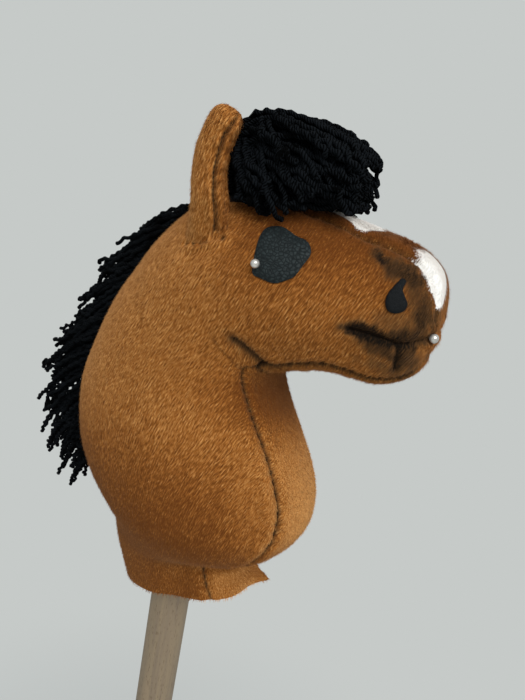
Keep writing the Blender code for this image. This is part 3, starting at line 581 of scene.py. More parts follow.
# the fold between jaw and throat: section and turn on the right side
THROAT_FOLD = skin(np.array([9.6, 9.3, 8.86, 8.4, 7.8]), np.radians([239, 234, 221.5, 208, 200]))
MUZZLE = 76.0 * MM          # the x at which the muzzle begins
MUZZLE_FRONT = 112.0 * MM   # from here the mouth's groove runs round the front
MIDDLE_STRIP = 8.0 * MM     # half width of the middle strip, which the mouth's sides don't reach
MOUTH_PIN_SEAT = np.array([0.115907, -0.016537, 0.758463])
MOUTH_PIN_AXIS = np.array([0.960557, -0.264073, 0.087156])
TUFTS = (2 * MM, 2 * MM, 9 * MM)   # tufts of pile: about 2 mm wide and 9 mm long
SKIRT_FOLDS = (17 * MM, 17 * MM, 70 * MM)
PUCKERS = 2.4   # from one section to the next, which makes each about 5 mm long


def bump(distance, width):
    """exp(-(distance / width)^2), a soft hump with its width in mm."""
    return np.exp(-((distance / MM / width) ** 2))


def right_half(places):
    """The places, with those of the left side mirrored to the right."""
    return np.concatenate([places[..., :1], -np.abs(places[..., 1:2]), places[..., 2:]], -1)


def throat_fold(places, section):
    """Which places lie about the fold of the throat, and how far each of them is from it."""
    near = (section > 7) & (section < 10.6)
    return near, to_line(right_half(places[near]), THROAT_FOLD)


def lips(places):
    """Height in mm of the mouth's groove, of the lips beside it, of the crease in the chin and of
    the plush that swells round the pin."""
    x, y = places[..., 0], places[..., 1]
    pin = np.linalg.norm(np.cross(places - MOUTH_PIN_SEAT, MOUTH_PIN_AXIS), axis=-1)
    height = (1.3 * bump(pin - 3.7 * MM, 1.5) - 0.5 * bump(pin, 1.5)) * (x > 0.1)
    muzzle = (x > MUZZLE) & ((np.abs(y) > MIDDLE_STRIP) | (x > MUZZLE_FRONT))
    flat = places[muzzle][:, (0, 2)]
    mouth, crease = to_line(flat, LIPS_LINE), to_line(flat, CREASE_LINE)
    deep = np.interp(flat[:, 0] / MM, (101, 111), (2.3, 1.4))
    groove, lip = bump(mouth, 1.3), bump(mouth - 4.2 * MM, 2.5)
    height[muzzle] += -deep * groove + 0.7 * lip - 1.3 * bump(crease, 1.1)
    return height


def hand_stitches(places):
    """Nearness to the ear's hand stitches: the sum of a hump on each of them, less 0.35 of a ring
    of the same width 2.9 mm away from it."""
    feet = skin(EAR_STITCHES[:, 0], np.radians(EAR_STITCHES[:, 1]))
    near = np.zeros(places.shape[:-1])
    brow = (places[..., 2] > 0.74) & (places[..., 0] < 0.04)
    away = np.linalg.norm(right_half(places[brow])[:, None] - feet, axis=-1)
    near[brow] = bump(away, 1.4).sum(-1) - 0.35 * bump(away - 2.9 * MM, 1.4).sum(-1)
    return near


def pucker(places, section):
    """Cosine of a wave that runs unevenly along a seam, stronger and weaker by turns, and is the
    same on both of its sides."""
    wave = np.cos(2 * math.pi * PUCKERS * section + 4.5 * noise(places, 0.011, 4))
    return wave * (0.6 + 0.5 * noise(places, 0.016, 9))


def relief(places, section, turn, seam):
    """Height over the smooth skin in metres: the sum of all the lumps, grooves, dents and folds."""
    loose = rise(section, STUFFING_END, SKIRT_LOOSE)
    height = (1 - 0.6 * loose) * (0.55 * noise(places, 0.034, 1) + 0.3 * noise(places, 0.015, 2))
    height += 0.06 * noise(places, TUFTS, 3)
    # the seam's groove, a wide swell beside it and the puckers
    wave = pucker(places, section)
    deep = (1.6 + rise(section, THROAT, THROAT - 0.4)) * (1 - 0.3 * wave)
    height -= deep * (1 - 0.7 * rise(section, SKIRT_START, SKIRT_START + 0.6)) * bump(seam, 1.6)
    height += 0.6 * bump(seam - 5.5 * MM, 3.6) + 0.42 * wave * bump(seam - 2.0 * MM, 2.4)
    # the skirt's long folds and the fold where the belly ends
    fold = np.exp(-(((section - BELLY_FOLD) / 0.32) ** 2)) * np.clip(-np.cos(turn), 0, 1)
    height += loose * 1.9 * noise(places, SKIRT_FOLDS, 5) - 2.6 * fold
    height += lips(places) - 1.9 * hand_stitches(places)
    near, fold = throat_fold(places, section)
    height[near] += -2.4 * bump(fold, 3.0) + 0.8 * bump(fold - 7.5 * MM, 4.0)
    return height * MM


def valleys(places, section, turn, distance, seams):
    """Painted shade: how dark the cloth is painted down in the seams, in the fold under the belly and
    in the fold of the throat, where shade falls.
    """
    jaw = section < THROAT
    wave = pucker(places, section)
    wide = np.where(jaw, 2.1, 1.3 - 0.3 * wave)
    dark = np.max([depth * bump(distance[seam], wide) for seam, depth in seams.items()], 0)
    dark = dark * np.where(jaw, 1.15, 0.8 - 0.3 * wave)
    down = section - BELLY_FOLD - 0.2   # towards the hem the dark runs out more slowly
    # painted shadow of the belly, cast down onto the flap below it
    belly = 0.85 * np.exp(-((down / np.where(down > 0, 0.6, 0.28)) ** 2))
    belly = belly * np.clip(-np.cos(turn), 0, 1)
    near, away = throat_fold(places, section)
    fold = np.zeros(dark.shape)
    # painted shade in the fold of the throat
    fold[near] = 0.72 * bump(away, 3.2)
    return np.clip(1 - (1 - dark) * (1 - belly) * (1 - fold), 0, 0.95)


def patched(places):
    """How far, in metres, a place is inside the eye patch or the nostril patch."""
    flat = places[..., (0, 2)]
    eye = inside(flat, EYE_MIDDLE, EYE_OUTLINE)
    nostril = inside(flat, NOSTRIL_MIDDLE, NOSTRIL_OUTLINE)
    return np.where(np.abs(places[..., 1]) > 12 * MM, np.maximum(eye, nostril), -1.0)


spot = skin(np.array([7.0]), np.array([4.6]))
print("relief at one place in mm:",
      np.round(relief(spot, np.array([7.0]), np.array([4.6]), np.array([0.05])) / MM, 2))

# %% [markdown]
# ## Paint on the plush
# The white star and snip and the dark shade round mouth and nostril are painted on the pile, so
# they are no pieces but values stored at each point. The paint's edge is kept as a distance, which
# the material sharpens and frays with noise. The shade is built up from soft spots, each laid over
# the ones before, as from a brush. The same stored shade also carries painted shade down in the
# seams, folds, creases and dents, and a second value paints light and shade over the whole pile.

# %% Paint and shade
# middle (x, height above the hem's level), half length and half height in mm, turn in degrees and
# strength
SHADE_SPOTS = ((91.5, 187.4, 7.2, 2.8, -2, 0.95),
               (93.6, 185.5, 9.6, 4.0, -4, 0.95), (106.6, 186.4, 8.0, 3.8, 4, 0.55),
               (98.6, 181.0, 10.4, 5.4, -22, 0.62), (109.3, 178.4, 5.0, 8.6, 8, 0.66),
               (103.0, 192.5, 10.0, 6.5, 0, 0.42), (108.6, 205.0, 4.6, 12.0, 32, 0.5),
               (98.4, 214.0, 9.0, 4.0, -16, 0.66), (88.6, 217.5, 4.4, 1.7, -32, 0.85),
               (113.5, 195.5, 4.0, 8.0, 10, 0.45), (103.5, 170.5, 12.0, 4.0, -12, 0.4))


def shade(places):
    """1 minus the product of (1 - strength / (1 + exp(5 (r - 1)))) over the spots, where r is the
    distance in half lengths, made uneven by noise. The mouth's groove adds a dark line, partly brushed
    paint and partly painted shade in the groove; the chin's crease and the dents of the ear's stitches
    add painted shade."""
    clear = np.ones(places.shape[:-1])
    rough = 0.25 * noise(places, 0.0045, 7) + 0.3 * noise(places, (0.0014, 0.0014, 0.004), 8)
    for x, z, wide, high, turn, strength in SHADE_SPOTS:
        dx = places[..., 0] / MM - x
        dz = (places[..., 2] - HEM_HEIGHT) / MM - z
        c, d = math.cos(math.radians(turn)), math.sin(math.radians(turn))
        r = np.hypot((dx * c + dz * d) / wide, (dz * c - dx * d) / high) + rough
        clear *= 1 - strength / (1 + np.exp(np.minimum(5 * (r - 1), 50)))
    # along the mouth's groove a dark line, partly brushed paint and partly painted shade in the
    # groove; in the chin's crease painted shade
    muzzle = places[..., 0] > MUZZLE
    flat = places[muzzle][:, (0, 2)]
    mouth, crease = to_line(flat, LIPS_LINE), to_line(flat, CREASE_LINE)
    fade = np.interp(flat[:, 0] / MM, (103, 110), (0.9, 0.5))
    clear[muzzle] *= (1 - fade * bump(mouth, 1.4)) * (1 - 0.6 * bump(crease, 1.1))
    side = rise(np.abs(places[..., 1]) / MM, 4, 13)
    # painted shade in the dents of the ear's stitches
    dents = np.clip(1.1 * hand_stitches(places), 0, 0.85)
    return 1 - (1 - (1 - clear) * side * side * (3 - 2 * side)) * (1 - dents)


def lie(places, out):
    """Painted light and shade on the pile, a level added to its colour: painted shade where nose and
    brow face up and on the cheek, a painted shadow of the jaw over the throat and painted shade on the
    low neck; painted light where the chest faces forward, on the crest, the skirt and the loose
    corner."""
    x, z = places[..., 0] / MM, (places[..., 2] - HEM_HEIGHT) / MM
    front, up = np.clip(out[..., 0], 0, 1) ** 2, np.clip(out[..., 2], 0, 1) ** 1.2
    chest = np.exp(-(((x - 44) / 20) ** 2) - ((z - 88) / 35) ** 2)
    throat = np.exp(-(((z - 140) / 12) ** 2)) * (x < 75)
    # painted light and shade: shade on nose and brow where they face up, on the cheek and the low
    # neck, a shadow of the jaw over the throat; light on the skirt, the loose corner, the chest where
    # it faces forward and the crest
    light = rise(x, 15, 40) * (-0.56 * up - 0.11)               # nose and brow, then cheek
    light += 0.17 * rise(z, 30, 18) - 0.5 * rise(z, 118, 52)    # skirt and low neck
    light += 0.42 * rise(x, 30, 38) * rise(z, 24, 18)           # the loose corner
    light += 0.12 * chest + front * (0.9 * rise(z, 128, 103) - 0.3 * throat)
    return light + 0.3 * np.clip(-out[..., 0], 0, 1) * rise(z, 70, 100)   # crest


# the pile leans back from the vertical: height above the hem's level in mm, degrees; below 110 mm
# its lines also draw together downwards
LEAN = np.array([(-40, 2), (60, 2), (110, 13), (150, 28), (190, 24), (230, 15), (290, 8)])
LEAN_HEIGHTS = np.arange(-40.0, 300.0)
LEAN_SHIFT = -np.cumsum(np.tan(np.radians(np.interp(LEAN_HEIGHTS, *LEAN.T))))
GATHER_MIDDLE, GATHER = -6.7 * MM, 0.0054   # share by which the lines come closer with each mm


def grain(places):
    """x, drawn together downwards, minus the pile's run in x from a fixed height: one value
    follows one line of fibres."""
    z = (places[..., 2] - HEM_HEIGHT) / MM
    gathered = (places[..., 0] - GATHER_MIDDLE) * np.exp(GATHER * np.clip(110 - z, 0, 90))
    return gathered + np.interp(z, LEAN_HEIGHTS, LEAN_SHIFT) * MM


def lean_at(places):
    """The pile's angle from the vertical that goes with those lines, in radians."""
    z = (places[..., 2] - HEM_HEIGHT) / MM
    slope = GATHER * (places[..., 0] - GATHER_MIDDLE) / MM * ((z > 20) & (z < 110))
    return np.radians(np.interp(z, *LEAN.T)) + np.arctan(slope)


def painted(places):
    """Distance in mm inside the white star or snip, from -5 outside to 5."""
    star = inside(places[..., (0, 1)], STAR_MIDDLE, STAR)
    star = np.where(places[..., 2] > 785 * MM, star, -1)
    snip = inside(places[..., (1, 2)], SNIP_MIDDLE, SNIP)
    snip = np.where(places[..., 0] > 95 * MM, snip, -1)
    return np.clip(np.maximum(star, snip) / MM, -5, 5)


# the values at points on the cloth's inner side, where neither paint nor pile is, with a little
# painted shade
BARE = {"shade": 0.0, "painted": -5.0, "lie": -0.2, "grain": 0.0}


def looks(places, out, dark, count=None):
    """The values that the plush material reads, at each place; up to a count of points, the rest
    are bare."""
    # the stored shade joins the brushed paint with the painted shade that comes in as dark
    values = {"shade": 1 - (1 - shade(places)) * (1 - dark), "painted": painted(places),
              "lie": lie(places, out), "grain": grain(places)}
    if count is None:
        return values
    return {key: np.append(value, np.full(count - value.size, BARE[key]))
            for key, value in values.items()}


print("shade at the mouth's corner:",
      round(float(shade(np.array([[0.0925, -0.031, 0.7535]]))[0]), 2))

# %% [markdown]
# ## Chestnut plush
# Short-pile plush is a knitted polyester cloth with a dense pile about 2 mm long. It looks darker
# between the fibres and lighter at their tips, which is painted here as painted shade at each
# fibre's root and painted light at its tip; it has a soft sheen at its rim, and it shows fine
# streaks where fibres bunch together. A picture of plush could be wrapped round it; here noise that
# is stretched along the pile gives streaks about 0.4 mm wide and 2.4 mm long at every place.

# %% Plush material
# per metre across the pile, per metre along it, detail: streaks, drift of the ribs, nap
STREAKS = ((2700, 420, 0.5), (170, 45, 0.0), (60, 40, 2.0))
RIB = 1.5 * MM   # between two ribs of the knitted back
CHEEK = 20 * MM   # the cloth turns from the side to the middle within about this distance


def plush_material(name, colours):
    """Streaks, ribs, nap, fibre tone, painted light at the tips and the stored painted light and shade
    pick a colour from dark to light; paint goes over.
    """
    material, tree, shader = new_material(name, Roughness=0.95, Sheen_Weight=0.25,
                                          Sheen_Roughness=0.45, Sheen_Tint=linear("#d9a070"),
                                          Specular_IOR_Level=0.1)
    here = add(tree, "ShaderNodeSeparateXYZ", None, {"Vector": own_place(tree)}).node.outputs
    # on the sides, where the cloth bulges, y may not cut the lines of pile into short pieces
    across = times(tree, sums(tree, "TANH", sums(tree, "DIVIDE", here[1], CHEEK)), 1.2 * CHEEK)
    place = add(tree, "ShaderNodeCombineXYZ", None,
                {"X": stored(tree, "grain"), "Y": across, "Z": here[2]})
    swirl = add(tree, "ShaderNodeTexNoise", None, {"Vector": place, "Scale": 60.0, "Detail": 1.0},
                out=1)
    swirl = add(tree, "ShaderNodeVectorMath", {"operation": "SUBTRACT"},
                {0: swirl, 1: (0.5, 0.5, 0.5)})
    place = add(tree, "ShaderNodeVectorMath", {"operation": "MULTIPLY_ADD"},
                {0: swirl, 1: (1.5 * MM, 0.6 * MM, 0.0), 2: place})

    streak, drift, nap = (noise_texture(tree, (wide, wide, long), detail, place=place)
                          for wide, long, detail in STREAKS)
    rows = times(tree, total(tree, stored(tree, "grain"), across), 2 * math.pi / RIB)
    rib = sums(tree, "COSINE", total(tree, rows, times(tree, drift, 7.0)))
    # the level adds painted shade at the fibres' roots, painted light at their tips and the stored
    # painted light and shade
    level = total(tree, times(tree, sums(tree, "SUBTRACT", streak, 0.5), 1.35),
                  times(tree, rib, 0.1), times(tree, nap, 0.12),
                  times(tree, stored(tree, "tone"), 0.12), times(tree, stored(tree, "tip"), 0.2),
                  0.385, stored(tree, "lie"))
    colour = ramp(tree, level, ((0.08, colours[0]), (0.5, colours[1]), (0.95, colours[2])))

    # the stored shade, brushed paint together with the painted shade of seams, folds and dents, is
    # olive where it is thin and nearly black where it is thick
    brushed_and_painted_shade = times(tree, stored(tree, "shade"), sums(tree, "ADD", streak, 0.5))
    thin = ranged(tree, brushed_and_painted_shade, From_Min=0.0, From_Max=0.6)
    thick = ranged(tree, brushed_and_painted_shade, From_Min=0.4, From_Max=0.9)
    colour = mixed(tree, thin, colour, mixed(tree, 0.62, colour, linear("#3c3626")))
    colour = mixed(tree, thick, colour, linear("#120e09"))
    # the streaks fray the edge of the paint
    fray = times(tree, sums(tree, "SUBTRACT", streak, 0.5), 3.4)
    edge = ranged(tree, total(tree, stored(tree, "painted"), fray),
                  {"interpolation_type": "SMOOTHSTEP"}, From_Min=-0.5, From_Max=0.5)
    white = ramp(tree, level, ((-0.1, "#f3f1eb"), (0.3, "#fffefb")))
    surface(tree, shader, mixed(tree, edge, colour, white),
            total(tree, streak, times(tree, rib, 0.25)), 0.8, 0.5 * MM)
    return material


plush = plush_material("chestnut_short_pile_plush", ("#693a13", "#9e632a", "#d69c5a"))
# the lining's copy of the same plush is painted darker, a painted shade in the ear's cup and on its
# roll
lining_plush_painted_in_shade = plush_material("chestnut_plush_of_the_lining_painted_in_shade", ("#5f3411", "#935b27", "#c98f52"))
print("plush streaks:", *(round(1000 / share, 1) for share in STREAKS[0][:2]), "mm wide and long")

# %% [markdown]
# ## Pile
# Paint alone leaves a smooth edge against the wall, and real plush has none. So the cloth also gets
# single fibres, each one narrow triangle that leans downwards as the brushed pile does. A hair
# system could grow them, but it doesn't travel to other programs; a mesh does. Their number is kept
# to about two on a square millimetre, and each takes its paint from the cloth under its root.

# %% Sheets and pile
def edge_lengths(points, axis):
    """Running length in metres along the rows or the columns of a grid of points."""
    step = np.linalg.norm(np.diff(points, axis=axis), axis=-1)
    first = np.zeros_like(np.take(step, [0], axis))
    return np.concatenate([first, np.cumsum(step, axis)], axis)


def grid_normals(points, like):
    """Cross product of the grid's two directions, turned to the side of the given vectors."""
    normal = unit(np.cross(np.gradient(points, axis=1), np.gradient(points, axis=0)))
    return normal * np.where((normal * like).sum(-1, keepdims=True) < 0, -1, 1)


def row_sections(first, last, cell):
    """Section numbers one cell apart, by the mean running length of three lines on the skin."""
    fine = np.linspace(first, last, 900)
    lines = skin(fine[:, None], np.array([[0.4, 1.6, 2.6]]))
    length = edge_lengths(lines, 0).mean(1)
    count = 4 * math.ceil(length[-1] / cell / 4) + 1
    return np.interp(np.linspace(0, length[-1], count), length, fine)


def closed_sheet(outer, normal, cloth, every=4):
    """A fine outer grid, the same grid a cloth's thickness inwards at every 4th point, and a rim
    whose faces join five fine points to two coarse ones."""
    inner = (outer - cloth * normal)[::every, ::every]
    o = np.arange(outer[..., 0].size).reshape(outer.shape[:2])
    i = o.size + np.arange(inner[..., 0].size).reshape(inner.shape[:2])
    rims = []
    for fine, coarse in ((o[0], i[0]), (o[:, -1], i[:, -1]), (o[-1, ::-1], i[-1, ::-1]),
                         (o[::-1, 0], i[::-1, 0])):
        k = np.arange(len(coarse) - 1)
        strip = fine[(k * every)[:, None] + np.arange(every, -1, -1)]
        rims.append(np.hstack([strip, coarse[k][:, None], coarse[k + 1][:, None]]))
    faces = [grid(*o.shape), grid(*i.shape, start=o.size)[:, ::-1], np.vstack(rims)]
    return np.vstack([outer.reshape(-1, 3), inner.reshape(-1, 3)]), faces


# a single fibre is far too fine to show, so each one here is as wide as a tuft's tip
PILE_LENGTH, PILE_WIDTH, PILE_RISE, PILE_DENSITY = 2.2 * MM, 0.28 * MM, 24.0, 2.0
ROOT_DEPTH = 0.15 * MM


def comb(places, normal, rng):
    """Direction of a fibre: down and back by the pile's lean, laid flat on the cloth, turned by
    noise and raised off it by the pile's rise in degrees."""
    lean = lean_at(places)
    down = np.stack([-np.sin(lean), 0 * lean, -np.cos(lean)], -1)
    flat = unit(down - (normal * down).sum(-1, keepdims=True) * normal)
    side = np.cross(normal, flat)
    swing = 0.15 * noise(places, 0.012, 11) + rng.normal(0, 0.16, len(places))
    lift = np.radians(PILE_RISE + 3 * noise(places, 0.004, 12) + rng.normal(0, 7, len(places)))
    lying = flat * np.cos(swing)[:, None] + side * np.sin(swing)[:, None]
    return lying * np.cos(lift)[:, None] + normal * np.sin(lift)[:, None]


def pile(outer, normal, dark, density, seed, bald=None):
    """Fibres on a grid: cells are drawn by area and a root lies anywhere in its cell, none where it
    is bald and few where shade is painted dark; the tip is one fibre's length away in the comb's
    direction. Each is lit as if tilted a little sideways. Gives points, their values and normals."""
    rng = np.random.default_rng(seed)
    a, b, c, d = outer[:-1, :-1], outer[:-1, 1:], outer[1:, 1:], outer[1:, :-1]
    area = (np.linalg.norm(np.cross(b - a, d - a), axis=-1)
            + np.linalg.norm(np.cross(b - c, d - c), axis=-1)).ravel() / 2
    count = int(area.sum() / MM**2 * density)
    cell = rng.choice(area.size, count, p=area / area.sum())
    r, q = np.divmod(cell, outer.shape[1] - 1)
    u, v = rng.random((2, count, 1))
    weights = ((0, 0, (1 - u) * (1 - v)), (0, 1, (1 - u) * v), (1, 1, u * v), (1, 0, u * (1 - v)))
    root = sum(w * outer[r + i, q + j] for i, j, w in weights)
    out = unit(sum(w * normal[r + i, q + j] for i, j, w in weights))
    dark = sum(w[:, 0] * dark[r + i, q + j] for i, j, w in weights)
    if bald is not None:
        keep = ~bald(root) & (rng.random(len(root)) > 0.9 * dark)
        root, out, dark = root[keep], out[keep], dark[keep]
    way = comb(root, out, rng)
    side = unit(np.cross(way, out))
    reach = PILE_LENGTH * rng.uniform(0.7, 1.2, (len(root), 1))
    low = root - out * ROOT_DEPTH
    points = np.stack([low - side * PILE_WIDTH / 2, low + side * PILE_WIDTH / 2,
                       low + way * reach], 1).reshape(-1, 3)
    values = looks(root, out, dark)
    values["tone"] = rng.normal(0, 1, len(root))
    values = {key: np.repeat(value, 3) for key, value in values.items()}
    # painted shade at each fibre's root, painted light at its tip
    values["tip"] = np.tile([0.0, 0.0, 1.0], len(root))
    lit = unit(out + side * rng.normal(0, 0.15, (len(root), 1)))
    return points, values, np.repeat(lit, 3, axis=0)


def new_pile(name, parts, material):
    """One piece from several patches of pile, lit as the cloth under it is."""
    points, values, normals = zip(*parts)
    points, normals = np.vstack(points), np.vstack(normals)
    values = {key: np.concatenate([part[key] for part in values]) for key in values[0]}
    faces = np.arange(len(points)).reshape(-1, 3)
    a, b, c = points[::3], points[1::3], points[2::3]
    facing = (np.cross(b - a, c - a) * normals[::3]).sum(1)
    faces[facing < 0] = faces[facing < 0][:, ::-1]
    piece = new_object(name, points, faces.ravel(), np.full(len(faces), 3), material, values)
    piece.data.normals_split_custom_set_from_vertices(normals.astype(np.float32))
    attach(piece, "head")
    print(f"{name}: {len(faces)} fibres")


def bald_spots(places):
    """True under the patches and in the mouth's groove, where no pile shows."""
    mouth = (places[:, 0] > MUZZLE) & (np.abs(places[:, 1]) > MIDDLE_STRIP)
    mouth[mouth] = to_line(places[mouth][:, (0, 2)], LIPS_LINE) < 0.6 * MM
    return mouth | (patched(places) > -0.2 * MM)


print("pile stands", PILE_RISE, "degrees off the cloth")

# %% [markdown]
# ## The five pieces of the cover
# Two big side panels meet along the crest; a strip runs over the face, one under the jaw and one
# down the throat and chest. They could be one skin with painted seams, but each is its own cloth,
# so each is its own grid and the seams are real valleys between them. The face strip ends in the
# round front of the muzzle, so its grid goes on over the tip to a closed pole.

# %% Cover
CELL, STRIP_CELL = 0.85 * MM, 0.7 * MM   # between the grid's points on the panels and the strips
PRESSED = 0.4 * MM                       # how deep a patch presses its plush in


def cover_panel(name, sections, turns, seams, flare=None):
    """One panel: its grid on the skin, its distance from the seams, the relief, then the sheet.
    Each seam's name comes with how dark the painted shade in its valley is."""
    rows = np.repeat(sections[:, None], turns.shape[1], axis=1)
    base = skin(rows, turns)
    across, along = edge_lengths(base, 1), edge_lengths(base, 0)
    distance = {"low": across, "high": across[:, -1:] - across, "first": along,
                "last": along[-1:] - along}
    far = np.min([distance[seam] for seam in seams], 0)
    # painted shade in the seams' valleys and in the folds
    dark = valleys(base, rows, turns, distance, seams)
    height = relief(base, rows, turns, far)
    pressed = rise(patched(base), -2 * PRESSED, 0)
    height = height * (1 - pressed) - PRESSED * pressed
    out = skin_normal(rows, turns)
    outer = base + height[..., None] * out
    if flare is not None:
        outer = outer + flare(base, rows)
    normal = grid_normals(outer, out)
    points, faces = closed_sheet(outer, out if flare is None else normal, CLOTH)
    piece = new_piece(name + "_plush", points, faces, plush, replace=[name],
                      values=looks(base, out, dark, len(points)), sharp=60)
    return outer, normal, dark


def turns_between(low, high, cell, sections):
    """Evenly spaced turns from low to high on each row, a multiple of four cells across."""
    low, high = low[:, None], high[:, None]
    width = edge_lengths(skin(sections[:, None], low + (high - low) * np.linspace(0, 1, 40)), 1)
    count = 4 * math.ceil(np.percentile(width[:, -1], 85) / cell / 4) + 1
    return low + (high - low) * np.linspace(0, 1, count)


side_sections = row_sections(NOSE_TIP + 0.01, HEM, CELL)
top_edge = np.where(side_sections <= POLL, face_seam(side_sections), 0.0) + seam_gap(side_sections)
low_edge = math.pi - low_seam(side_sections) - seam_gap(side_sections)
left_turns = turns_between(top_edge, low_edge, CELL, side_sections)
left = cover_panel("side_panel_left", side_sections, left_turns,
                   {"low": 0.8, "high": 0.3, "first": 0.2})
right = cover_panel("side_panel_right", side_sections, (2 * math.pi - left_turns)[:, ::-1],
                    {"low": 0.3, "high": 0.8, "first": 0.2})
new_pile("pile_of_side_panel_left", [pile(*left, PILE_DENSITY, 21, bald=bald_spots)], plush)
new_pile("pile_of_side_panel_right", [pile(*right, PILE_DENSITY, 22, bald=bald_spots)], plush)

# %% Strips under the jaw and down the chest
FLAP_REACH, FLAP_FLAT = 18.0 * MM, 0.75
FLAP_WAVE, FLAP_WAVE_TURN = 1.6 * MM, 8.0   # height of its wave, and its turn in radians across


def flap(base, rows):
    """Below the belly the chest strip swings forward from its sewn right edge to its free left
    corner: the bow of the skin is straightened by three quarters and pushed along X, in a wave."""
    loose = rise(rows, FLAP_START, HEM) ** 1.3
    across = np.linspace(1, 0, rows.shape[1])[None]
    straight = base[:, -1:] + (base[:, :1] - base[:, -1:]) * across[..., None]
    move = (straight - base) * FLAP_FLAT * loose[..., None]
    move[..., 0] += loose * (FLAP_REACH * across + FLAP_WAVE * np.sin(across * FLAP_WAVE_TURN))
    return move


def low_panel(name, first, last, seams, flare=None):
    """A strip between the side panels' lower edges, from one section to another."""
    sections = row_sections(first, last, STRIP_CELL)
    edge = low_seam(sections) - seam_gap(sections)
    turns = turns_between(math.pi - edge, math.pi + edge, STRIP_CELL, sections)
    return cover_panel(name, sections, turns, dict.fromkeys(seams, 0.8), flare)


chin = low_panel("chin_gusset", NOSE_TIP + 0.01, THROAT - 0.01, ("low", "high", "first", "last"))
chest = low_panel("chest_gusset", THROAT + 0.01, HEM, ("low", "high", "first"), flap)
new_pile("pile_of_chin_gusset", [pile(*chin, PILE_DENSITY, 23)], plush)
new_pile("pile_of_chest_gusset", [pile(*chest, PILE_DENSITY, 24)], plush)

# %% Face strip with the tip of the muzzle
face_sections = row_sections(NOSE_TIP - 0.01, POLL, STRIP_CELL)
face_edge = face_seam(face_sections) - seam_gap(face_sections)
face_turns = turns_between(-face_edge, face_edge, STRIP_CELL, face_sections)
TIP_BULGE = 1.2 * MM
strip = cover_panel("face_gusset", face_sections, face_turns, {"low": 0.3, "high": 0.3})


def muzzle_tip(rings=12, columns=128):
    """Rings round the front of the muzzle: a ring shrinks by cos and moves forward by sin of an
    angle from the first section's oval to a pole, which closes it. The same rings, a cloth's
    thickness further in, are its inner side."""
    turns = np.linspace(0, 2 * math.pi, columns, endpoint=False)
    section, turn = np.meshgrid(np.linspace(NOSE_TIP - 0.01, 0.02, rings), turns, indexing="ij")
    side, out = skin(section, turn), skin_normal(section, turn)
    middle, forward = side[-1].mean(0), np.array([1.0, 0, 0])
    angle = np.linspace(0, math.pi / 2, rings)[1:-1, None, None]
    dome = middle + (side[-1] - middle) * np.cos(angle) + forward * TIP_BULGE * np.sin(angle)
    outer = np.concatenate([side, dome])
    front = unit(np.concatenate([out, out[-1:] * np.cos(angle) + forward * np.sin(angle)]))
    far = edge_lengths(outer, 0)
    below = np.cos(turns) <= math.cos(float(face_edge[0]))   # where it meets panels, not the strip
    pull = -1.4 * bump(far, 1.6) * below
    lumps = 0.35 * noise(outer, 0.012, 2) + 0.06 * noise(outer, TUFTS, 3)
    # painted shade in the seam where the tip meets the panels
    dark = 0.5 * bump(far, 0.9) * below
    outer = outer + (pull + lumps + lips(outer))[..., None] * MM * front
    inner = outer - CLOTH * front
    poles = outer[-1].mean(0) + (0.1 * MM, 0, 0), inner[-1].mean(0)
    points, faces = stacked([*outer[::-1], *inner], poles)
    piece = new_piece("muzzle_tip_plush", points, faces, plush, replace=["face_gusset"],
                      values=looks(outer[::-1], front[::-1], dark[::-1], len(points)), sharp=60)
    return tuple(np.hstack([part, part[:, :1]]) for part in (outer, front, dark))


tip = muzzle_tip()
new_pile("pile_of_face_gusset", [pile(*strip, PILE_DENSITY, 25),
                                 pile(*tip, PILE_DENSITY, 26)], plush)

# %% [markdown]
# ## Ears
# Each ear is two cloths sewn together: the outer one wraps the back, and the lining is so wide that
# it rolls round the rim to the outside, where the seam shows as a dark line. A flat leaf with
# thickness would miss that roll. Here a cross-section, a loop of (angle, depth) through both sides
# of the cloth, is carried up the ear's middle line while it tapers to a round tip.

# %% Ear frames
EAR_WIDTH, EAR_BACK, EAR_CLOTH = 18.0 * MM, 10.23 * MM, 2.6 * MM
EAR_SEAM, EAR_RIM = 103.0, 134.0   # degrees from the middle of the ear's back
EAR_OPENS = math.radians(24.0)     # from straight ahead to the side
EAR_INWARD = 0.55                  # how far the foot goes inwards for each millimetre down
EAR_DEGREE = 0.16                  # mm of cloth to one degree of the loop
EAR_STITCH = 2.3 * MM
EAR_HALF, EAR_ROWS = 60, 80        # points on each side of the loop; rows below the round tip
EAR_TIP, EAR_END = 5.0, 6.02       # heights at which the round tip begins and would close
EAR_PILE, LINING_PILE = 2.8, 1.6   # fibres on a square millimetre
# forwards, outwards and height above the hem's level, in mm
EAR_LINE = above_hem([(10.0, 31.5, 211.0), (10.6, 33.6, 217.0), (10.3, 36.6, 227.0),
                      (9.4, 38.2, 238.0), (10.0, 38.5, 249.0), (12.6, 38.5, 259.0),
                      (17.0, 38.0, 265.6)])
EAR_TAPER = np.array([0.86, 0.94, 0.97, 0.95, 0.93, 0.88, 0.30])
EAR_FLARE = np.array([1.5, 1.25, 1.04, 1.0, 1.0, 1.0, 1.0])


def ear_frames(side, heights):
    """Place, front and sideways directions at heights counted in the line's points."""
    line = curve_through(EAR_LINE, heights) * (1, side, 1)
    along = unit(np.gradient(line, axis=0))
    front = np.array([math.cos(EAR_OPENS), -side * math.sin(EAR_OPENS), 0])
    front = unit(front - (along @ front)[:, None] * along)
    return line, front, np.cross(along, front)


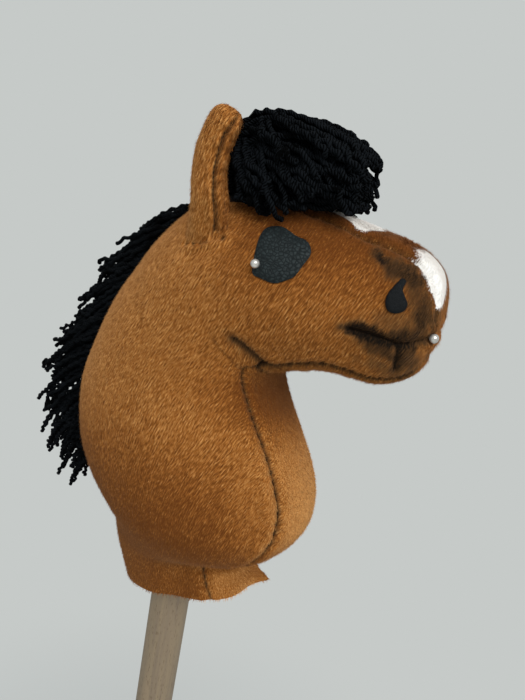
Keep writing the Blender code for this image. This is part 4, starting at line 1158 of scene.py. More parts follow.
def ear_surface(side, heights, angles, depths):
    """place - front (depth' cos a) + sideways (width' sin a), where both shrink by the taper and
    by the wall's depth; the lowest row drops onto the skin and the next rows follow a little."""
    line, front, sideways = ear_frames(side, heights)
    taper = np.interp(heights, np.arange(len(EAR_TAPER)), EAR_TAPER)
    top = rise(heights, EAR_TIP, EAR_END)
    taper = np.where(top > 0, EAR_TAPER[5] * np.sqrt(np.maximum(1 - top**2, 0.03)), taper)[:, None]
    wall = depths * np.minimum(1, taper + 0.25)
    a = np.radians(angles)
    flare = np.interp(heights, np.arange(len(EAR_FLARE)), EAR_FLARE)[:, None]
    back = (EAR_BACK * taper * flare - wall) * np.cos(a)
    out = (EAR_WIDTH / 2 * taper - wall) * np.sin(a)
    points = line[:, None] - front[:, None] * back[..., None] + sideways[:, None] * out[..., None]
    down = unit(np.array([0, -side * EAR_INWARD, -1.0]))
    axes = np.array([(1.0, 0, 0), np.cross(down, (1.0, 0, 0))])
    turns = (0.15, 1.45) if side > 0 else (2 * math.pi - 1.45, 2 * math.pi - 0.15)
    s, t = find_on_skin(points[0] @ axes.T, axes, turns)
    seat = skin(s, t) - points[0]
    return points + rise(heights, 4, 0)[:, None, None] * seat[None]


def evenly(loop, count):
    """The loop's corners joined by straight steps, resampled evenly by the cloth's length."""
    loop = np.asarray(loop, float)
    size = np.hypot(np.diff(loop[:, 0]) * EAR_DEGREE, np.diff(loop[:, 1]) / MM)
    place = np.concatenate([[0], np.cumsum(size)])
    return np.stack([np.interp(np.linspace(0, place[-1], count), place, loop[:, k])
                     for k in (0, 1)], -1)


def ear_seam(outside, loop):
    """Lumps in mm round the sewn rim and the painted shade in it: a groove that deepens at each
    stitch, and on both sides of it a ridge, uneven by noise."""
    away = (np.abs(loop[:, 0]) - EAR_SEAM) * EAR_DEGREE * MM + 0.5 * MM * noise(outside, 0.005, 34)
    away = np.where(np.abs(loop[:, 1]) < 2 * MM, away, 1.0)
    stitch = np.cos(2 * math.pi * outside[..., 2] / EAR_STITCH + 2.5 * noise(outside, 0.006, 33))
    groove = (-1.5 - 0.4 * stitch) * bump(away, 0.85)
    ridges = (0.7 + 0.9 * noise(outside, 0.0026, 35)) * bump(np.abs(away) - 2.0 * MM, 1.3)
    # painted shade down in the seam's groove, darker at each stitch
    return groove + ridges, np.clip((0.8 + 0.3 * stitch) * bump(away, 0.75), 0, 0.93)


def ear_cloth(name, side, loop, seed):
    """One cloth: the loop at all heights, with lumps and the seam, zipped shut at its ends. The
    lining has pile on its inner side too."""
    half = EAR_HALF
    loop = np.vstack([evenly(loop[0], half), evenly(loop[1], half)])
    tip_rows = EAR_TIP + np.sin(np.linspace(0, 1, 17)[1:] * 1.5)
    heights = np.concatenate([np.linspace(0, EAR_TIP, EAR_ROWS), tip_rows])
    ring = ear_surface(side, heights, loop[None, :, 0], loop[None, :, 1])
    line, front, _ = ear_frames(side, heights)
    out = unit(ring - (line - front * 1.65 * MM)[:, None])
    raised, dark = ear_seam(ring[:, :half], loop[:half])
    lumps = 0.4 * noise(ring[:, :half], 0.010, 31) + raised
    ring[:, :half] += (lumps * MM)[..., None] * out[:, :half]
    rows, columns = ring.shape[:2]
    index = np.arange(rows * columns).reshape(rows, columns)
    ends = []
    for row, flip in ((index[0], 1), (index[-1], -1)):
        a, b = row[:half], row[half:][::-1]
        ends.append(np.stack([a[1:], a[:-1], b[:-1], b[1:]], -1)[:, ::flip])
    faces = [grid(rows, columns, closed=True), np.vstack(ends)]
    clear = np.zeros((rows, half))
    lining = "lining" in name
    material = lining_plush_painted_in_shade if lining else plush
    piece = new_piece(name + "_plush", ring, faces, material, replace=[name],
                      values=looks(ring, out, np.hstack([dark, clear])), sharp=70)
    outside, within = ring[:, :half], ring[:, half:]
    parts = [pile(outside, grid_normals(outside, out[:, :half]), dark, EAR_PILE, seed,
                  bald=bald_spots)]
    if lining:
        parts.append(pile(within, grid_normals(within, -out[:, half:]), clear, LINING_PILE,
                          seed + 1))
    new_pile("pile_of_" + name, parts, material)


# %% Sew the ears
# corners of a loop as (angle, depth): first the outside, then the inside
WRAP, ROLL = EAR_CLOTH + FIT, EAR_SEAM + 5
OUTER_LOOP = (((-EAR_SEAM, 0), (EAR_SEAM, 0)), ((EAR_SEAM, EAR_CLOTH), (-EAR_SEAM, EAR_CLOTH)))
LINING_LOOP = (
    ((-EAR_RIM - 3, 0.9 * EAR_CLOTH), (-EAR_RIM, 0.25 * EAR_CLOTH), (-ROLL - 14, 0), (-ROLL, 0.1 * MM),
     (-ROLL, WRAP), (ROLL, WRAP), (ROLL, 0.1 * MM), (ROLL + 14, 0), (EAR_RIM, 0.25 * EAR_CLOTH),
     (EAR_RIM + 3, 0.9 * EAR_CLOTH)),
    ((EAR_RIM + 2, 1.5 * EAR_CLOTH), (EAR_RIM - 5, 1.9 * EAR_CLOTH),
     (ROLL, 2 * EAR_CLOTH + FIT), (-ROLL, 2 * EAR_CLOTH + FIT),
     (-EAR_RIM + 5, 1.9 * EAR_CLOTH), (-EAR_RIM - 2, 1.5 * EAR_CLOTH)))
for side, word in SIDES:
    ear_cloth("ear_outer_" + word, side, OUTER_LOOP, 41 + side)
    ear_cloth("ear_lining_" + word, side, LINING_LOOP, 51 + side)

# %% [markdown]
# ## Patches of leatherette
# Leatherette is a cloth with a skin of black plastic, embossed with a grain like leather's. The eye
# patch has cells about 1.7 mm wide with fine valleys between them, the nostril a much finer grain,
# and both shine softly. A patch could be a flat piece that is bent; here it is a grid of rings from
# its middle to its rim, laid on the skin as thick as the cloth, and its cut edge rolls down a little.

# %% Leatherette
PATCH = 1.0 * MM
EYE_GRAIN, NOSTRIL_GRAIN = 1.7, 0.6   # mm across a cell


def leatherette(name, cell, valley, dark, light):
    """Voronoi cells of the given size in mm between valleys in a darker colour, a painted shade, with
    soft clouds.
    """
    material, tree, shader = new_material(name, Roughness=0.6, Specular_IOR_Level=0.18)
    valleys_near = add(tree, "ShaderNodeTexVoronoi", {"feature": "DISTANCE_TO_EDGE"},
                       {"Vector": scaled(tree, own_place(tree), 1000 / cell), "Scale": 1.0})
    cells = ranged(tree, valleys_near, From_Min=0.0, From_Max=0.22)
    black = ramp(tree, noise_texture(tree, 700, 3.0), ((0.35, dark), (0.65, light)))
    surface(tree, shader, mixed(tree, cells, linear(valley), black), cells, 0.5, 0.3 * MM,
            ranged(tree, cells, To_Min=0.8, To_Max=0.52))
    return material


def patch(name, side, middle, outline, material, around=72):
    """middle + rim * share on rings of growing share, lifted along the skin's normal by the patch's
    thickness times 1 - 0.7 share^9 above and by the fit below."""
    rim = closed_curve(outline, around)
    centre = rim.mean(0)
    share = np.concatenate([np.linspace(0.06, 0.9, 14), (0.95, 0.985, 1.0)])
    flat = middle + centre + (rim - centre) * share[:, None, None]
    s, t = on_side(side, flat[..., 0].ravel(), flat[..., 1].ravel())
    s, t = s.reshape(flat.shape[:2]), t.reshape(flat.shape[:2])
    place, out = skin(s, t), skin_normal(s, t)
    top = place + out * (FIT + PATCH * (1 - 0.7 * share**9))[:, None, None]
    low = place[[-1, 0]] + out[[-1, 0]] * FIT
    points, faces = stacked([*top, *low])
    piece = new_piece(name + "_cut", points, faces, material, replace=[name], sharp=50)


grained = leatherette("black_grained_leatherette", EYE_GRAIN, "#0f1516", "#161e1f", "#262f30")
smooth = leatherette("black_fine_leatherette", NOSTRIL_GRAIN, "#04070a", "#070b0e", "#0c1013")
print("grain cells in mm on the eye patch and the nostril:", EYE_GRAIN, NOSTRIL_GRAIN)
for side, word in SIDES:
    patch("eye_patch_" + word, side, EYE_MIDDLE, EYE_OUTLINE, grained)
    patch("nostril_patch_" + word, side, NOSTRIL_MIDDLE, NOSTRIL_OUTLINE, smooth)

# %% [markdown]
# ## Yarn and thread
# Yarn is three plies twisted together, about 2.4 mm thick here, and the plies are what shows: small
# slanted ridges, 1.5 mm apart. Curves with a bevel would give smooth tubes, so each strand is a
# tube whose round outline has three lobes that turn slowly as it runs. The finer ridges of the plies
# are drawn by its material, from each point's place round the strand and along it. The same function
# makes sewing thread, which is only thinner.

# %% Twisted strands
def strand_frames(paths):
    """Direction of each path, and two directions across it."""
    along = unit(np.gradient(paths, axis=1))
    across = unit(np.cross(along, (0.05, 1.0, 0.1)))
    return along, across, np.cross(along, across)


def twisted(paths, radius, sides, twist, rng, lobes=3, deep=0.24, flare=0.14):
    """Rings r (1 - deep + deep |cos(lobes (a - twist s) / 2)|) round each of several paths of equal
    count, closed by a small ring and a pole at both ends. Gives points, faces and, for a pattern,
    each point's cosine and sine round the strand and its length along it in mm."""
    count, steps = paths.shape[:2]
    along, across, up = strand_frames(paths)
    length = edge_lengths(paths, 1)
    angle = np.linspace(0, 2 * math.pi, sides, endpoint=False)
    phase = rng.uniform(0, 2 * math.pi, (count, 1, 1))
    slant = angle - 2 * math.pi * length[..., None] / twist + phase
    size = radius * rng.uniform(0.92, 1.08, (count, 1, 1))
    swell = 1 + flare * np.clip((length - length[:, -1:] + 5 * MM) / (5 * MM), 0, 1)[..., None]
    ring = size * swell * (1 - deep + deep * np.abs(np.cos(lobes * slant / 2)))
    shape = paths[:, :, None] + ring[..., None] * (across[:, :, None] * np.cos(angle)[:, None]
                                                   + up[:, :, None] * np.sin(angle)[:, None])
    caps, poles = [], []
    for end, way in ((0, -1), (-1, 1)):
        middle = paths[:, end] + way * along[:, end] * radius * 0.35
        caps.append((middle[:, None] + (shape[:, end] - paths[:, end][:, None]) * 0.6)[:, None])
        poles.append((middle + way * along[:, end] * radius * 0.1)[:, None])
    rows = np.concatenate([caps[0], shape, caps[1]], 1)
    points = np.concatenate([rows.reshape(count, -1, 3), *poles], 1)
    first = fan(np.arange(sides), (steps + 2) * sides)[:, ::-1]
    last = fan(np.arange(sides) + (steps + 1) * sides, (steps + 2) * sides + 1)
    shift = (np.arange(count) * points.shape[1])[:, None, None]
    faces = [(grid(steps + 2, sides, closed=True) + shift).reshape(-1, 4),
             (np.vstack([first, last]) + shift).reshape(-1, 3)]
    run = np.concatenate([length[:, :1], length, length[:, -1:]], 1) / MM + 40 * phase[..., 0]
    run, around = np.broadcast_arrays(run[..., None], angle)
    layout = {"round_x": np.cos(around), "round_y": np.sin(around), "run": run}
    layout = {key: np.hstack([value.reshape(count, -1), value[:, 0, :1], value[:, -1, :1]])
              for key, value in layout.items()}
    return points.reshape(-1, 3), faces, layout


PLY_PITCH = 1.5   # mm between two ridges along a strand, with three plies

# matt acrylic: almost no gloss, black, with a faint painted highlight on the crowns of the plies and
# paler in patches
yarn, tree, shader = new_material("black_matt_acrylic_yarn", Roughness=0.95, Sheen_Weight=0.02,
                                  Sheen_Roughness=0.5, Specular_IOR_Level=0.03,
                                  Sheen_Tint=linear("#8c98a4"))
place_round = sums(tree, "ARCTAN2", stored(tree, "round_y"), stored(tree, "round_x"))
helix = sums(tree, "SUBTRACT", times(tree, place_round, 1.5),
             times(tree, stored(tree, "run"), math.pi / PLY_PITCH))
crown = sums(tree, "ABSOLUTE", sums(tree, "COSINE", helix))
lit = total(tree, times(tree, crown, 0.5), times(tree, noise_texture(tree, 330, 2.0), 0.6),
            times(tree, noise_texture(tree, 75, 1.0), 0.7))
surface(tree, shader, ramp(tree, lit, ((0.95, "#010101"), (1.2, "#030404"), (1.6, "#121518"))),
        total(tree, crown, times(tree, noise_texture(tree, 2600, 2.0), 0.4)), 1.0, 0.5 * MM)
print("yarn ridges are", PLY_PITCH, "mm apart")

# %% [markdown]
# ## Mane
# The mane is yarn sewn into a tape along the crest, in bundles that fall back and down. Each bundle
# keeps the path of its solid; its strands start side by side, wander, part at their cut ends and
# have different lengths, because no two strands of real yarn hang alike.

# %% Bundles
YARN_RADIUS, YARN_TWIST = 1.2 * MM, 9.0 * MM
YARN_STEP = 1.4 * MM   # between two rings of a strand
MANE_LOCKS, MANE_START, MANE_END, MANE_LEAN = 14, 10.25, 16.9, math.radians(7.0)
TAPE = 1.4 * MM


def yarn_root(section, turn):
    """Where yarn comes out of its tape, and the skin's normal there."""
    out = skin_normal(section, turn)
    return skin(section, turn) + (2 * FIT + TAPE) * out, out


def spread_in_disk(count):
    """Sunflower pattern: radius sqrt((k + 0.5) / n), each next one 137.5 degrees further round."""
    k = np.arange(count)
    r, a = np.sqrt((k + 0.5) / count), k * math.radians(137.508)
    return r * np.cos(a), r * np.sin(a)


def wandering(paths, share, rng, wander, wave=0.013):
    """Each path plus smooth noise of its own, which grows with the share of the way to its end."""
    count, steps = paths.shape[:2]
    run = np.cumsum(np.full((count, steps, 1), YARN_STEP), 1) * (1, 0, 0)
    where = rng.uniform(0, 50, (count, 1, 3)) + run
    drift = np.stack([noise(where, (wave, 1, 1), k) for k in (61, 62, 63)], -1)
    return paths + drift * wander * share[..., None] ** 1.5


def crimped(paths, rng, size=0.6 * MM, pitch=7.5 * MM):
    """Each strand coils a little round its path, which is what unpicked yarn does."""
    count = len(paths)
    _, across, up = strand_frames(paths)
    run = edge_lengths(paths, 1)
    turn = 2 * math.pi * (run / pitch * rng.uniform(0.8, 1.25, (count, 1))
                          + rng.random((count, 1)))[..., None]
    size = size * rng.uniform(0.4, 1.4, (count, 1, 1)) * np.clip(run / (8 * MM), 0, 1)[..., None]
    return paths + size * (across * np.cos(turn) + up * np.sin(turn))


def bundle(knots, widths, thick, ups, count, rng, wander, splay, shorter=0.16, sink=0.0):
    """Strands at spread places of the bundle's oval: path(t) + across a w(t) + up b h(t), minus
    sink t^1.7 times the length in height, plus their wander; each ends at its own length."""
    length = np.linalg.norm(np.diff(knots, axis=0), axis=1).sum()
    steps = int(length / YARN_STEP) + 1
    last = len(knots) - 1
    ends = last * (1 - shorter * rng.random(count) ** 1.5)
    t = ends[:, None] * np.linspace(0, 1, steps)
    path = curve_through(knots, t)
    along = unit(np.gradient(path, axis=1))
    up = curve_through(ups, t)
    up = unit(up - (up * along).sum(-1, keepdims=True) * along)
    across = np.cross(along, up)
    a, b = spread_in_disk(count)
    swirl = rng.normal(0, 0.25, (count, 1)) * t / last
    a, b = (a[:, None] * np.cos(swirl) - b[:, None] * np.sin(swirl),
            a[:, None] * np.sin(swirl) + b[:, None] * np.cos(swirl))
    part = 1 + splay * (t / last) ** 3
    w = curve_through(widths[:, None], t)[..., 0] / 2 - YARN_RADIUS * 0.6
    h = curve_through(thick[:, None], t)[..., 0] / 2 - YARN_RADIUS * 0.6
    place = path + across * (a * w * part)[..., None] + up * (b * h * part)[..., None]
    place[..., 2] -= sink * rng.uniform(0, 1, (count, 1)) * length * (t / last) ** 1.7
    return wandering(place, t / last, rng, wander)


def yarn_piece(name, paths, rng, replace):
    """Crimps the strands, twists them and makes one piece of them in the solid's stead."""
    paths = crimped(paths, rng)
    points, faces, layout = twisted(paths, YARN_RADIUS, 8, YARN_TWIST, rng, deep=0.16)
    piece = new_piece(name, points, faces, yarn, replace=[replace], values=layout)


def mane_bundle(k):
    """The solid's own path: out of the tape, then back, down and to the left. What changes along
    the crest is given at shares of the way from the poll to the mane's end."""
    pitch = (MANE_END - MANE_START) / MANE_LOCKS
    section = MANE_START + pitch * (k + 0.5)
    start, out = yarn_root(section, MANE_LEAN)
    step = skin(section + pitch / 2, MANE_LEAN) - skin(section - pitch / 2, MANE_LEAN)
    share = (section - MANE_START) / (MANE_END - MANE_START)
    length = np.interp(share, (0, 0.7, 1), (50, 71, 61)) * MM
    hang = np.interp(share, (0, 0.7, 1), (21, 31, 56))   # degrees below the horizontal
    sink = np.interp(share, (0, 0.7, 1), (0.66, 0.55, 0.3))
    shorter = np.interp(share, (0.72, 0.95), (0.42, 0.78))
    across = np.array([-math.sin(math.radians(hang)), 0, math.cos(math.radians(hang))])
    thickness = abs(step @ across)
    along = np.arange(1, 7) / 6
    turn = np.radians(hang - 9 + 16 * along)
    heading = unit(np.stack([-np.cos(turn), 0.34 * along, -np.sin(turn)], -1))
    second = start + out * thickness / 3
    path = np.vstack([start, second, second + np.cumsum(heading, 0) * length / 6])
    full = np.array([0.75, 0.9, 1.0, 1.0, 1.0, 0.96, 0.9, 0.8])
    ups = np.vstack([[-step / np.linalg.norm(step)] * 2, [across] * 6])
    rng = np.random.default_rng(100 + k)
    paths = bundle(path, 16 * MM * full, thickness * 1.4 * np.minimum(1.1, full + 0.3), ups, 24, rng,
                   5.2 * MM, 0.3, shorter, sink)
    name = f"mane_lock_{k + 1:02d}"
    yarn_piece(name + "_yarn", paths, rng, name)


for k in range(MANE_LOCKS):
    mane_bundle(k)

# %% [markdown]
# ## Forelock
# The forelock is a thick mop between the ears that falls forward over the brow. Six bundles in two
# layers carry it, as in the solids; they stand close together on the pad and open to a fan. More
# strands hang over its sides, and what sticks out is tucked in to the mop's outline.

# %% Forelock bundles
BROW_MIDDLE = 194.0 * MM + HEM_HEIGHT
COLUMN = 20.5 * MM   # between two bundles of a layer
# paths of the bundles in the middle: x and height above the hem's level, in mm
FORELOCK_UPPER = ((8.0, 247.0), (16.0, 259.5), (32.0, 264.5), (50.0, 263.5), (62.0, 259.4),
                  (69.5, 253.6))
FORELOCK_LOWER = ((23.0, 243.5), (34.0, 244.0), (46.0, 243.3), (58.0, 242.0), (67.0, 240.0),
                  (73.0, 238.0))
# the forelock's lower edge on its sides: x and height above the hem's level, in mm
FORELOCK_EDGE = np.array([(14, 233), (23, 230), (33, 226), (47, 224.5), (55, 227.5), (61, 234.5),
                          (69, 236), (80, 233), (84, 234)])
# the mop's top: x and distance from the brow's middle line, in mm
FORELOCK_DOME = np.array([(-8, 64), (5, 70), (15, 76), (29, 79), (43, 76.5), (54, 73.5), (64, 70),
                          (72, 65), (77, 56), (80, 48), (84, 42)])


def tucked(paths, rng):
    """Strands that would stick out are pulled back to the mop's dome, over its lower edge and
    behind its front; one in twelve keeps a little more freedom."""
    x, y, z = np.moveaxis(paths, -1, 0).copy()
    free = rng.random((len(x), 1)) < 0.08
    limit = np.interp(x / MM, *FORELOCK_DOME.T) + rng.normal(-1.5, 1.2, (len(x), 1)) + 2.5 * free
    keep = np.minimum(1, limit * MM / np.hypot(0.8 * y, z - BROW_MIDDLE))
    y, z = y * keep, BROW_MIDDLE + (z - BROW_MIDDLE) * keep
    low = np.interp(x / MM, *FORELOCK_EDGE.T) * MM + HEM_HEIGHT
    z = np.where(np.abs(y) > 17 * MM, np.maximum(z, low), z)
    ahead = 0.0715 - 0.2 * y - 6.0 * y**2 + (rng.normal(0.3, 1.8, (len(x), 1)) + 4.5 * free) * MM
    return np.stack([np.minimum(x, ahead + 0.25 * (x - ahead)), y, z], -1)


def side_strands(side, count, rng, low, high):
    """Strands that rise from the pad's edge, bulge out over the side and end there: a smooth curve
    through root, root + 9 mm outwards, two places on the bulge and an end over the lower edge."""
    section = rng.uniform(8.75, 9.5, count)
    turn = side * np.arcsin(rng.uniform(6, 20, count) * MM / curve_through(SECTIONS, section)[:, 4])
    turn = turn % (2 * math.pi)
    root, out = yarn_root(section, turn)
    end_x = rng.uniform(15, 82, count)
    end_z = np.interp(end_x, *FORELOCK_EDGE.T) + low + (high - low) * rng.random(count) ** 1.6
    bulge = np.interp(end_x, (15, 40, 82), (31.5, 34, 29)) + rng.normal(0, 1.5, count)
    end = np.stack([end_x * MM, side * bulge * MM, end_z * MM + HEM_HEIGHT], -1)
    start = root + 9 * MM * out
    top = start + (end - start) * 0.3
    top[:, 2] = HEM_HEIGHT + (np.maximum(end_z + 8, 250) + rng.uniform(-2, 8, count)) * MM
    top[:, 1] = side * (0.55 * bulge + 8) * MM
    fall = start + (end - start) * 0.72
    fall[:, 2] = HEM_HEIGHT + (end_z + 5 + rng.uniform(0, 4, count)) * MM
    fall[:, 1] = side * (bulge + 1) * MM
    knots = np.stack([root, start, top, fall, end])
    t = np.linspace(0, 4, 64)
    return wandering(np.moveaxis(curve_through(knots.reshape(5, -1), t).reshape(64, count, 3), 0, 1),
                     np.tile(t / 4, (count, 1)), rng, 4.2 * MM, 0.009)


def forelock_bundle(number, line, thickness, column, strands):
    """The solid's own path: an arc over the brow, leaning out round the brow's middle."""
    reach = 5 * (1 - 0.14 * (column + 1) / 2)
    flat = above_hem(curve_through(line, np.linspace(0, reach, 8)))
    radius = flat[:, 1] - BROW_MIDDLE
    lean = column * COLUMN / radius
    lower = line is FORELOCK_LOWER
    if lower:
        lean = lean * np.linspace(1, 0.86, 8)
    path = np.stack([flat[:, 0], radius * np.sin(lean), BROW_MIDDLE + radius * np.cos(lean)], -1)
    ups = np.stack([0 * lean, np.sin(lean), np.cos(lean)], -1)
    full = np.array([0.7, 0.95, 1.0, 1.0, 1.0, 0.97, 0.92, 0.8])
    if lower:
        path[:, 2] += np.linspace(0, 1, 8) ** 2 * (9 * MM if column else 4 * MM)
    else:
        turn = 0.76 * column * COLUMN / (skin(9.3, 0.0)[2] - BROW_MIDDLE)
        root, out = yarn_root(9.3, turn)
        path = np.vstack([root, root + 4 * MM * out, path])
        ups = np.vstack([[(-1, 0, 0.2)] * 3, ups[1:]])
        full = np.concatenate([[0.66, 0.7, 0.86, 0.97], full[2:]])
    rng = np.random.default_rng(200 + number)
    paths = [bundle(path, 22.5 * MM * full, thickness * 1.06 * full, ups, strands, rng, 3.4 * MM,
                    0.06, 0.26)]
    if column:
        low, high = (0, 10) if lower else (8, 27)
        paths.append(side_strands(column, 30, rng, low, high))
    steps = min(group.shape[1] for group in paths)
    paths = np.concatenate([group[:, np.linspace(0, group.shape[1] - 1, steps).round().astype(int)]
                            for group in paths])
    name = f"forelock_lock_{number}"
    yarn_piece(name + "_yarn", tucked(paths, rng), rng, name)


for column in (-1, 0, 1):
    forelock_bundle(column + 2, FORELOCK_LOWER, 18 * MM, column, 34)
for column in (-1, 0, 1):
    forelock_bundle(column + 5, FORELOCK_UPPER, 20 * MM, column, 42)

# %% [markdown]
# ## Tapes under the yarn
# The yarn is sewn to a woven cotton tape along the crest and to a pad between the ears. Hardly any
# of them shows, so each is a plain thin sheet on the skin. A weave could be modelled thread by
# thread; a wave in the colour and the bump is enough for what can be seen of it.

# %% Tapes
TAPE_HALF = 5.5 * MM
PAD_MIDDLE, PAD_LONG, PAD_WIDE = 9.05, 30 * MM, 44 * MM


def waves(tree, per_metre, distortion=0.0):
    """Slanting waves, as a weave or the plies of a thread show them."""
    return add(tree, "ShaderNodeTexWave", {"bands_direction": "DIAGONAL"},
               {"Vector": scaled(tree, own_place(tree), per_metre), "Scale": 1.0,
                "Distortion": distortion}, out=1)


webbing, tree, shader = new_material("black_woven_cotton_tape", Roughness=0.9,
                                     Specular_IOR_Level=0.2)
weave = waves(tree, 320, 2.0)
surface(tree, shader, ramp(tree, weave, ((0.2, "#0c0d0e"), (0.8, "#1a1b1d"))), weave, 0.5, 0.4 * MM)


def tape(name, sections, turns):
    """A grid on the skin, lifted by the fit, with the tape's thickness on top."""
    rows = np.repeat(sections[:, None], turns.shape[1], 1)
    out = skin_normal(rows, turns)
    points, faces = closed_sheet(skin(rows, turns) + (FIT + TAPE) * out, out, TAPE)
    piece = new_piece(name + "_woven", points, faces, webbing, replace=[name], sharp=50)


sections = np.linspace(MANE_START, MANE_END, 121)
half = TAPE_HALF / curve_through(SECTIONS, sections)[:, 4]
tape("mane_tape", sections, MANE_LEAN + half[:, None] * np.linspace(-1, 1, 9))
step = np.linalg.norm(skin(PAD_MIDDLE + 0.5, 0.0) - skin(PAD_MIDDLE - 0.5, 0.0))
sections = PAD_MIDDLE + PAD_LONG / 2 / step * np.linspace(-1, 1, 33)
half = turn_at(sections, PAD_WIDE / 2)
tape("forelock_tape", sections, half[:, None] * np.linspace(-1, 1, 41))

# %% [markdown]
# ## Mouth line and seam stitches
# The mouth is a dark thread sewn along a groove. The seams of chest and jaw are sewn with a
# chestnut thread, which could be left out where it hardly shows; here it is short stitches, 3.2 mm
# apart, at the bottom of the seam's valley, each from a tenth to nine tenths of the way.

# %% Threads
MOUTH_THREAD, MOUTH_DEPTH = 0.35 * MM, 1.5 * MM
STITCH, STITCH_THREAD, STITCH_DEPTH = 3.2 * MM, 0.26 * MM, 1.6 * MM


def sewing_thread(name, dark, light, strength=0.0):
    """Matt polyester thread: two tones on its plies and, on a thick one, a bump of the same plies."""
    material, tree, shader = new_material(name, Roughness=0.95, Specular_IOR_Level=0.08)
    ply = waves(tree, 900)
    surface(tree, shader, ramp(tree, ply, ((0.2, dark), (0.8, light))), ply if strength else None,
            strength, 0.2 * MM)
    return material


def stitches(name, sections, turns, rng):
    """One short thread, arched by 0.3 mm, for each pair of neighbouring places."""
    low, high = skin(sections[:-1], turns[:-1]), skin(sections[1:], turns[1:])
    out = skin_normal(sections[:-1], turns[:-1])
    share = np.linspace(0.1, 0.9, 5)[None, :, None]
    arch = np.sin(np.linspace(0, math.pi, 5))[None, :, None] * 0.3 * MM
    paths = low[:, None] + (high - low)[:, None] * share + out[:, None] * (arch - STITCH_DEPTH)
    points, faces, _ = twisted(paths, STITCH_THREAD, 6, 2.0 * MM, rng, lobes=2, deep=0.15, flare=0)
    new_piece(name, points, faces, seam_thread)


def seam_places(first, last):
    """Section numbers a stitch apart along the low seam, by its running length."""
    fine = np.linspace(first, last, 500)
    length = edge_lengths(skin(fine, math.pi - low_seam(fine))[:, None], 0)[:, 0]
    return np.interp(np.arange(0, length[-1], STITCH), length, fine)


thread = sewing_thread("dark_brown_polyester_thread", "#0c0805", "#1d130c", 0.4)
seam_thread = sewing_thread("chestnut_polyester_thread", "#241307", "#3f2410")
rng = np.random.default_rng(7)
for side, word in SIDES:
    line = curve_through(MOUTH_LINE, np.linspace(0, len(MOUTH_LINE) - 1, 60))
    s, t = on_side(side, line[:, 0], line[:, 1])
    path = skin(s, t) - MOUTH_DEPTH * skin_normal(s, t)
    points, faces, _ = twisted(path[None], MOUTH_THREAD, 10, 3.0 * MM, rng, lobes=2, deep=0.2,
                               flare=0)
    new_piece(f"mouth_thread_{word}_twist", points, faces, thread,
                      replace=["mouth_thread_" + word])
for side, word in SIDES:
    for part, places in (("chest", seam_places(THROAT + 0.2, HEM - 0.1)),
                         ("jaw", seam_places(1.0, THROAT - 0.2))):
        if part == "chest" and side > 0:
            places = places[places < FLAP_START]   # the flap's left edge isn't sewn
        stitches(f"{part}_seam_stitches_{word}", places, math.pi - side * low_seam(places), rng)

# %% [markdown]
# ## Filling
# The filling is loose polyester fibre: white, matt and lumpy. It shows only from below the open
# hem, where the stick goes into its socket, so the filling is a lumpy skin inside the cloth with
# the stick's round hole left in it.

# %% Filling
STICK_RADIUS, SOCKET_END = 12.5 * MM, 750.3 * MM
SOCKET_SLACK, FILLING_SLACK = 0.5 * MM, 1.7 * MM

fibre, tree, shader = new_material("white_polyester_filling", Roughness=0.95, Sheen_Weight=0.3,
                                   Specular_IOR_Level=0.1)
tuft = noise_texture(tree, 240, 5.0, 0.7)
surface(tree, shader, ramp(tree, tuft, ((0.3, "#cfcbc2"), (0.7, "#f1efea"))), tuft, 0.9, 1.5 * MM)


def smaller(ring):
    """The ring drawn together to 45 percent round its middle."""
    return ring.mean(0) + (ring - ring.mean(0)) * 0.45


def filling(name, first, last, socket, around=96):
    """The skin, moved in by cloth and slack and then by lumps; both ends close to a middle point,
    and a socket goes up as a straight bore with a flat end."""
    sections = row_sections(first, last, 2.6 * MM)
    turns = np.linspace(0, 2 * math.pi, around, endpoint=False)
    rows, turns = np.meshgrid(sections, turns, indexing="ij")
    place = skin(rows, turns)
    lumps = 1.3 + 1.0 * noise(place, 0.009, 71) + 0.5 * noise(place, 0.004, 72)
    shell = place - skin_normal(rows, turns) * (CLOTH + FILLING_SLACK + lumps[..., None] * MM)
    rings = [smaller(shell[0]), *shell]
    if socket:
        base = shell[-1]
        turn = np.arctan2(base[:, 1], base[:, 0])
        bore = np.stack([np.cos(turn), np.sin(turn), 0 * turn], -1) * (STICK_RADIUS + SOCKET_SLACK)
        mouth = bore + (0, 0, base[:, 2].mean())
        for share in (0.66, 0.33):
            mix = base * share + mouth * (1 - share)
            mix[:, 2] += (1.6 * noise(mix, 0.008, 73) - 1.0) * MM
            rings.append(mix)
        rings += [mouth, bore + (0, 0, SOCKET_END)]
    else:
        rings.append(smaller(shell[-1]))
    points, faces = stacked(rings)
    piece = new_piece(name + "_fibre", points, faces, fibre, replace=[name], sharp=70)


filling("head_stuffing", 0.6, POLL - 0.12, False)
filling("neck_stuffing", POLL + 0.12, STUFFING_END, True)

# %% [markdown]
# ## The stick
# The stick is a turned beech dowel. Beech is pale pinkish brown with a straight, even grain, and
# what tells it from other woods are short dark flecks, 1 to 3 mm long, all along the grain. Noise
# that is stretched along Z gives both: a wide one for the growth rings, a tight one for the flecks.

# %% Beech
STICK_LENGTH, EDGE, END_RING = 750 * MM, 1.2 * MM, 6 * MM

beech, tree, shader = new_material("beech_turned_and_sanded", Roughness=0.55)
rings = noise_texture(tree, (170, 170, 7), 4.0, 0.6)
wood = ramp(tree, rings, ((0.3, "#786856"), (0.5, "#88775e"), (0.7, "#937f65")))
fleck = noise_texture(tree, (1500, 1500, 260), 1.0)
dark = times(tree, ranged(tree, fleck, From_Min=0.6, From_Max=0.7), 0.55)
surface(tree, shader, mixed(tree, dark, wood, linear("#5e4830")), fleck, 0.25, 0.2 * MM,
        ranged(tree, rings, To_Min=0.48, To_Max=0.66))


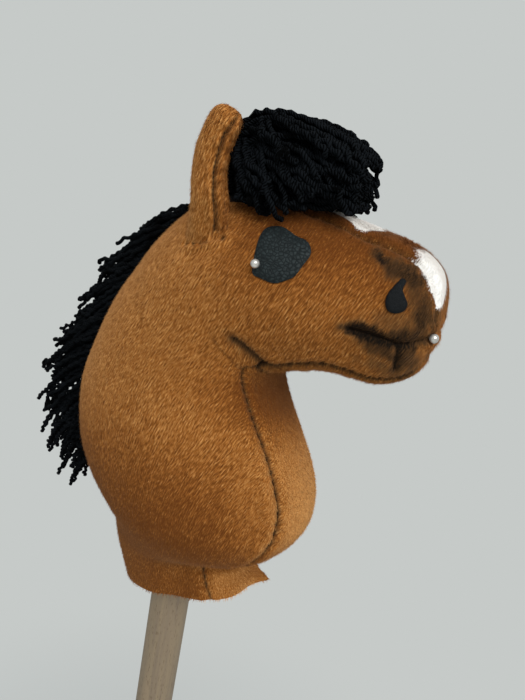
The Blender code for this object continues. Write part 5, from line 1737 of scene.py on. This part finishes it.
def turned(name, profile, sides, place, axis, material, body, replace):
    """Rings of (radius, height) about an axis through a place; the first and last radius are 0."""
    axis = unit(np.array(axis, float))
    first = unit(np.cross(axis, (0.31, 0.2, 0.93) if abs(axis[2]) < 0.9 else (1.0, 0, 0)))
    second = np.cross(axis, first)
    angle = np.linspace(0, 2 * math.pi, sides, endpoint=False)
    around = first * np.cos(angle)[:, None] + second * np.sin(angle)[:, None]
    radius, height = np.array(profile, float).T[..., None, None]
    rings = np.array(place) + radius[1:-1] * around + height[1:-1] * axis
    poles = np.array(place) + height[[0, -1], 0] * axis
    points, faces = stacked(rings, poles)
    piece = new_piece(name, points, faces, material, body=body, replace=[replace], sharp=35)
    return piece


# half of the stick's end, from its middle outwards: depth below the end face comes second
end = [(0, 0), (STICK_RADIUS - EDGE - END_RING, 0), (STICK_RADIUS - EDGE, 0),
       (STICK_RADIUS - EDGE * 0.35, EDGE * 0.2), (STICK_RADIUS, EDGE)]
profile = end + [(STICK_RADIUS, h * MM) for h in np.linspace(10, 740, 60)] \
    + [(r, STICK_LENGTH - h) for r, h in end[::-1]]
turned("stick_beech", profile, 96, (0, 0, 0), (0, 0, 1), beech, "stick", "stick")

# %% [markdown]
# ## Pins with pearl heads
# A dressmaker's pin is a steel wire with a glass pearl on it. The pearl is coated so that it shines
# under a milky skin. Glass with a coat inside could be ray-traced; a clear coat over a slightly
# shimmering base looks the same at 4 mm. It is turned about the pin's own axis, with a small collar
# where the wire goes in.

# %% Pins
PEARL, WIRE, SHANK = 2.15 * MM, 0.35 * MM, 36 * MM
# the place in the cloth, the pin's axis outwards, and what the pearl rests on there
PINS = (("right_eye_pin", (0.0408, -0.04142, 0.7742), (0.091363, -0.951597, 0.293457), 1.3 * MM),
        ("left_eye_pin", (0.0408, 0.04142, 0.7742), (0.091367, 0.951597, 0.293455), 1.3 * MM),
        ("mouth_pin", MOUTH_PIN_SEAT, MOUTH_PIN_AXIS, 0.0))

pearl, tree, shader = new_material("pearl_lacquer_on_glass", Metallic=0.55, Roughness=0.16,
                                   Coat_Weight=1.0, Coat_Roughness=0.04)
milk = ramp(tree, noise_texture(tree, 500, 2.0), ((0.3, "#c2bfb8"), (0.7, "#dedbd3")))
# painted reflection: the pearl's colour turns darker towards its rim, where it is seen edge-on
rim = add(tree, "ShaderNodeLayerWeight", None, {"Blend": 0.35}, out=1)
surface(tree, shader, mixed(tree, rim, milk, linear("#8a867f")))

# wire is drawn through a die, which leaves it bright, with fine lines along it
steel, tree, shader = new_material("drawn_pin_steel", Metallic=1.0, Roughness=0.25)
drawn = noise_texture(tree, (3000, 300, 3000), 1.0)
surface(tree, shader, ramp(tree, drawn, ((0.3, "#b4b4b2"), (0.7, "#cfcfcd"))),
        roughness=ranged(tree, drawn, To_Min=0.18, To_Max=0.34))

for name, seat, axis, base in PINS:
    foot = base + FIT   # the pearl's nearest point to the cloth, along the axis
    centre = foot + PEARL
    angles = np.linspace(-math.pi / 2, math.pi / 2, 33)
    head = [(max(PEARL * math.cos(a), 0), centre + PEARL * math.sin(a)) for a in angles]
    collar = [(0, foot - 0.12 * MM), (0.62 * MM, foot - 0.1 * MM), (0.72 * MM, foot + 0.1 * MM)]
    profile = collar + [p for p in head if p[1] > foot + 0.14 * MM]
    turned(name + "_pearl", profile, 48, seat, axis, pearl, name, name + "_head")
    low, high = foot - SHANK, foot - 0.2 * MM
    wire = [(0, low), (0.06 * MM, low + 0.1 * MM), (0.22 * MM, low + 0.7 * MM),
            (WIRE, low + 1.6 * MM), (WIRE, low + 18 * MM), (WIRE, high), (0, high)]
    turned(name + "_wire", wire, 16, seat, axis, steel, name, name + "_shank")
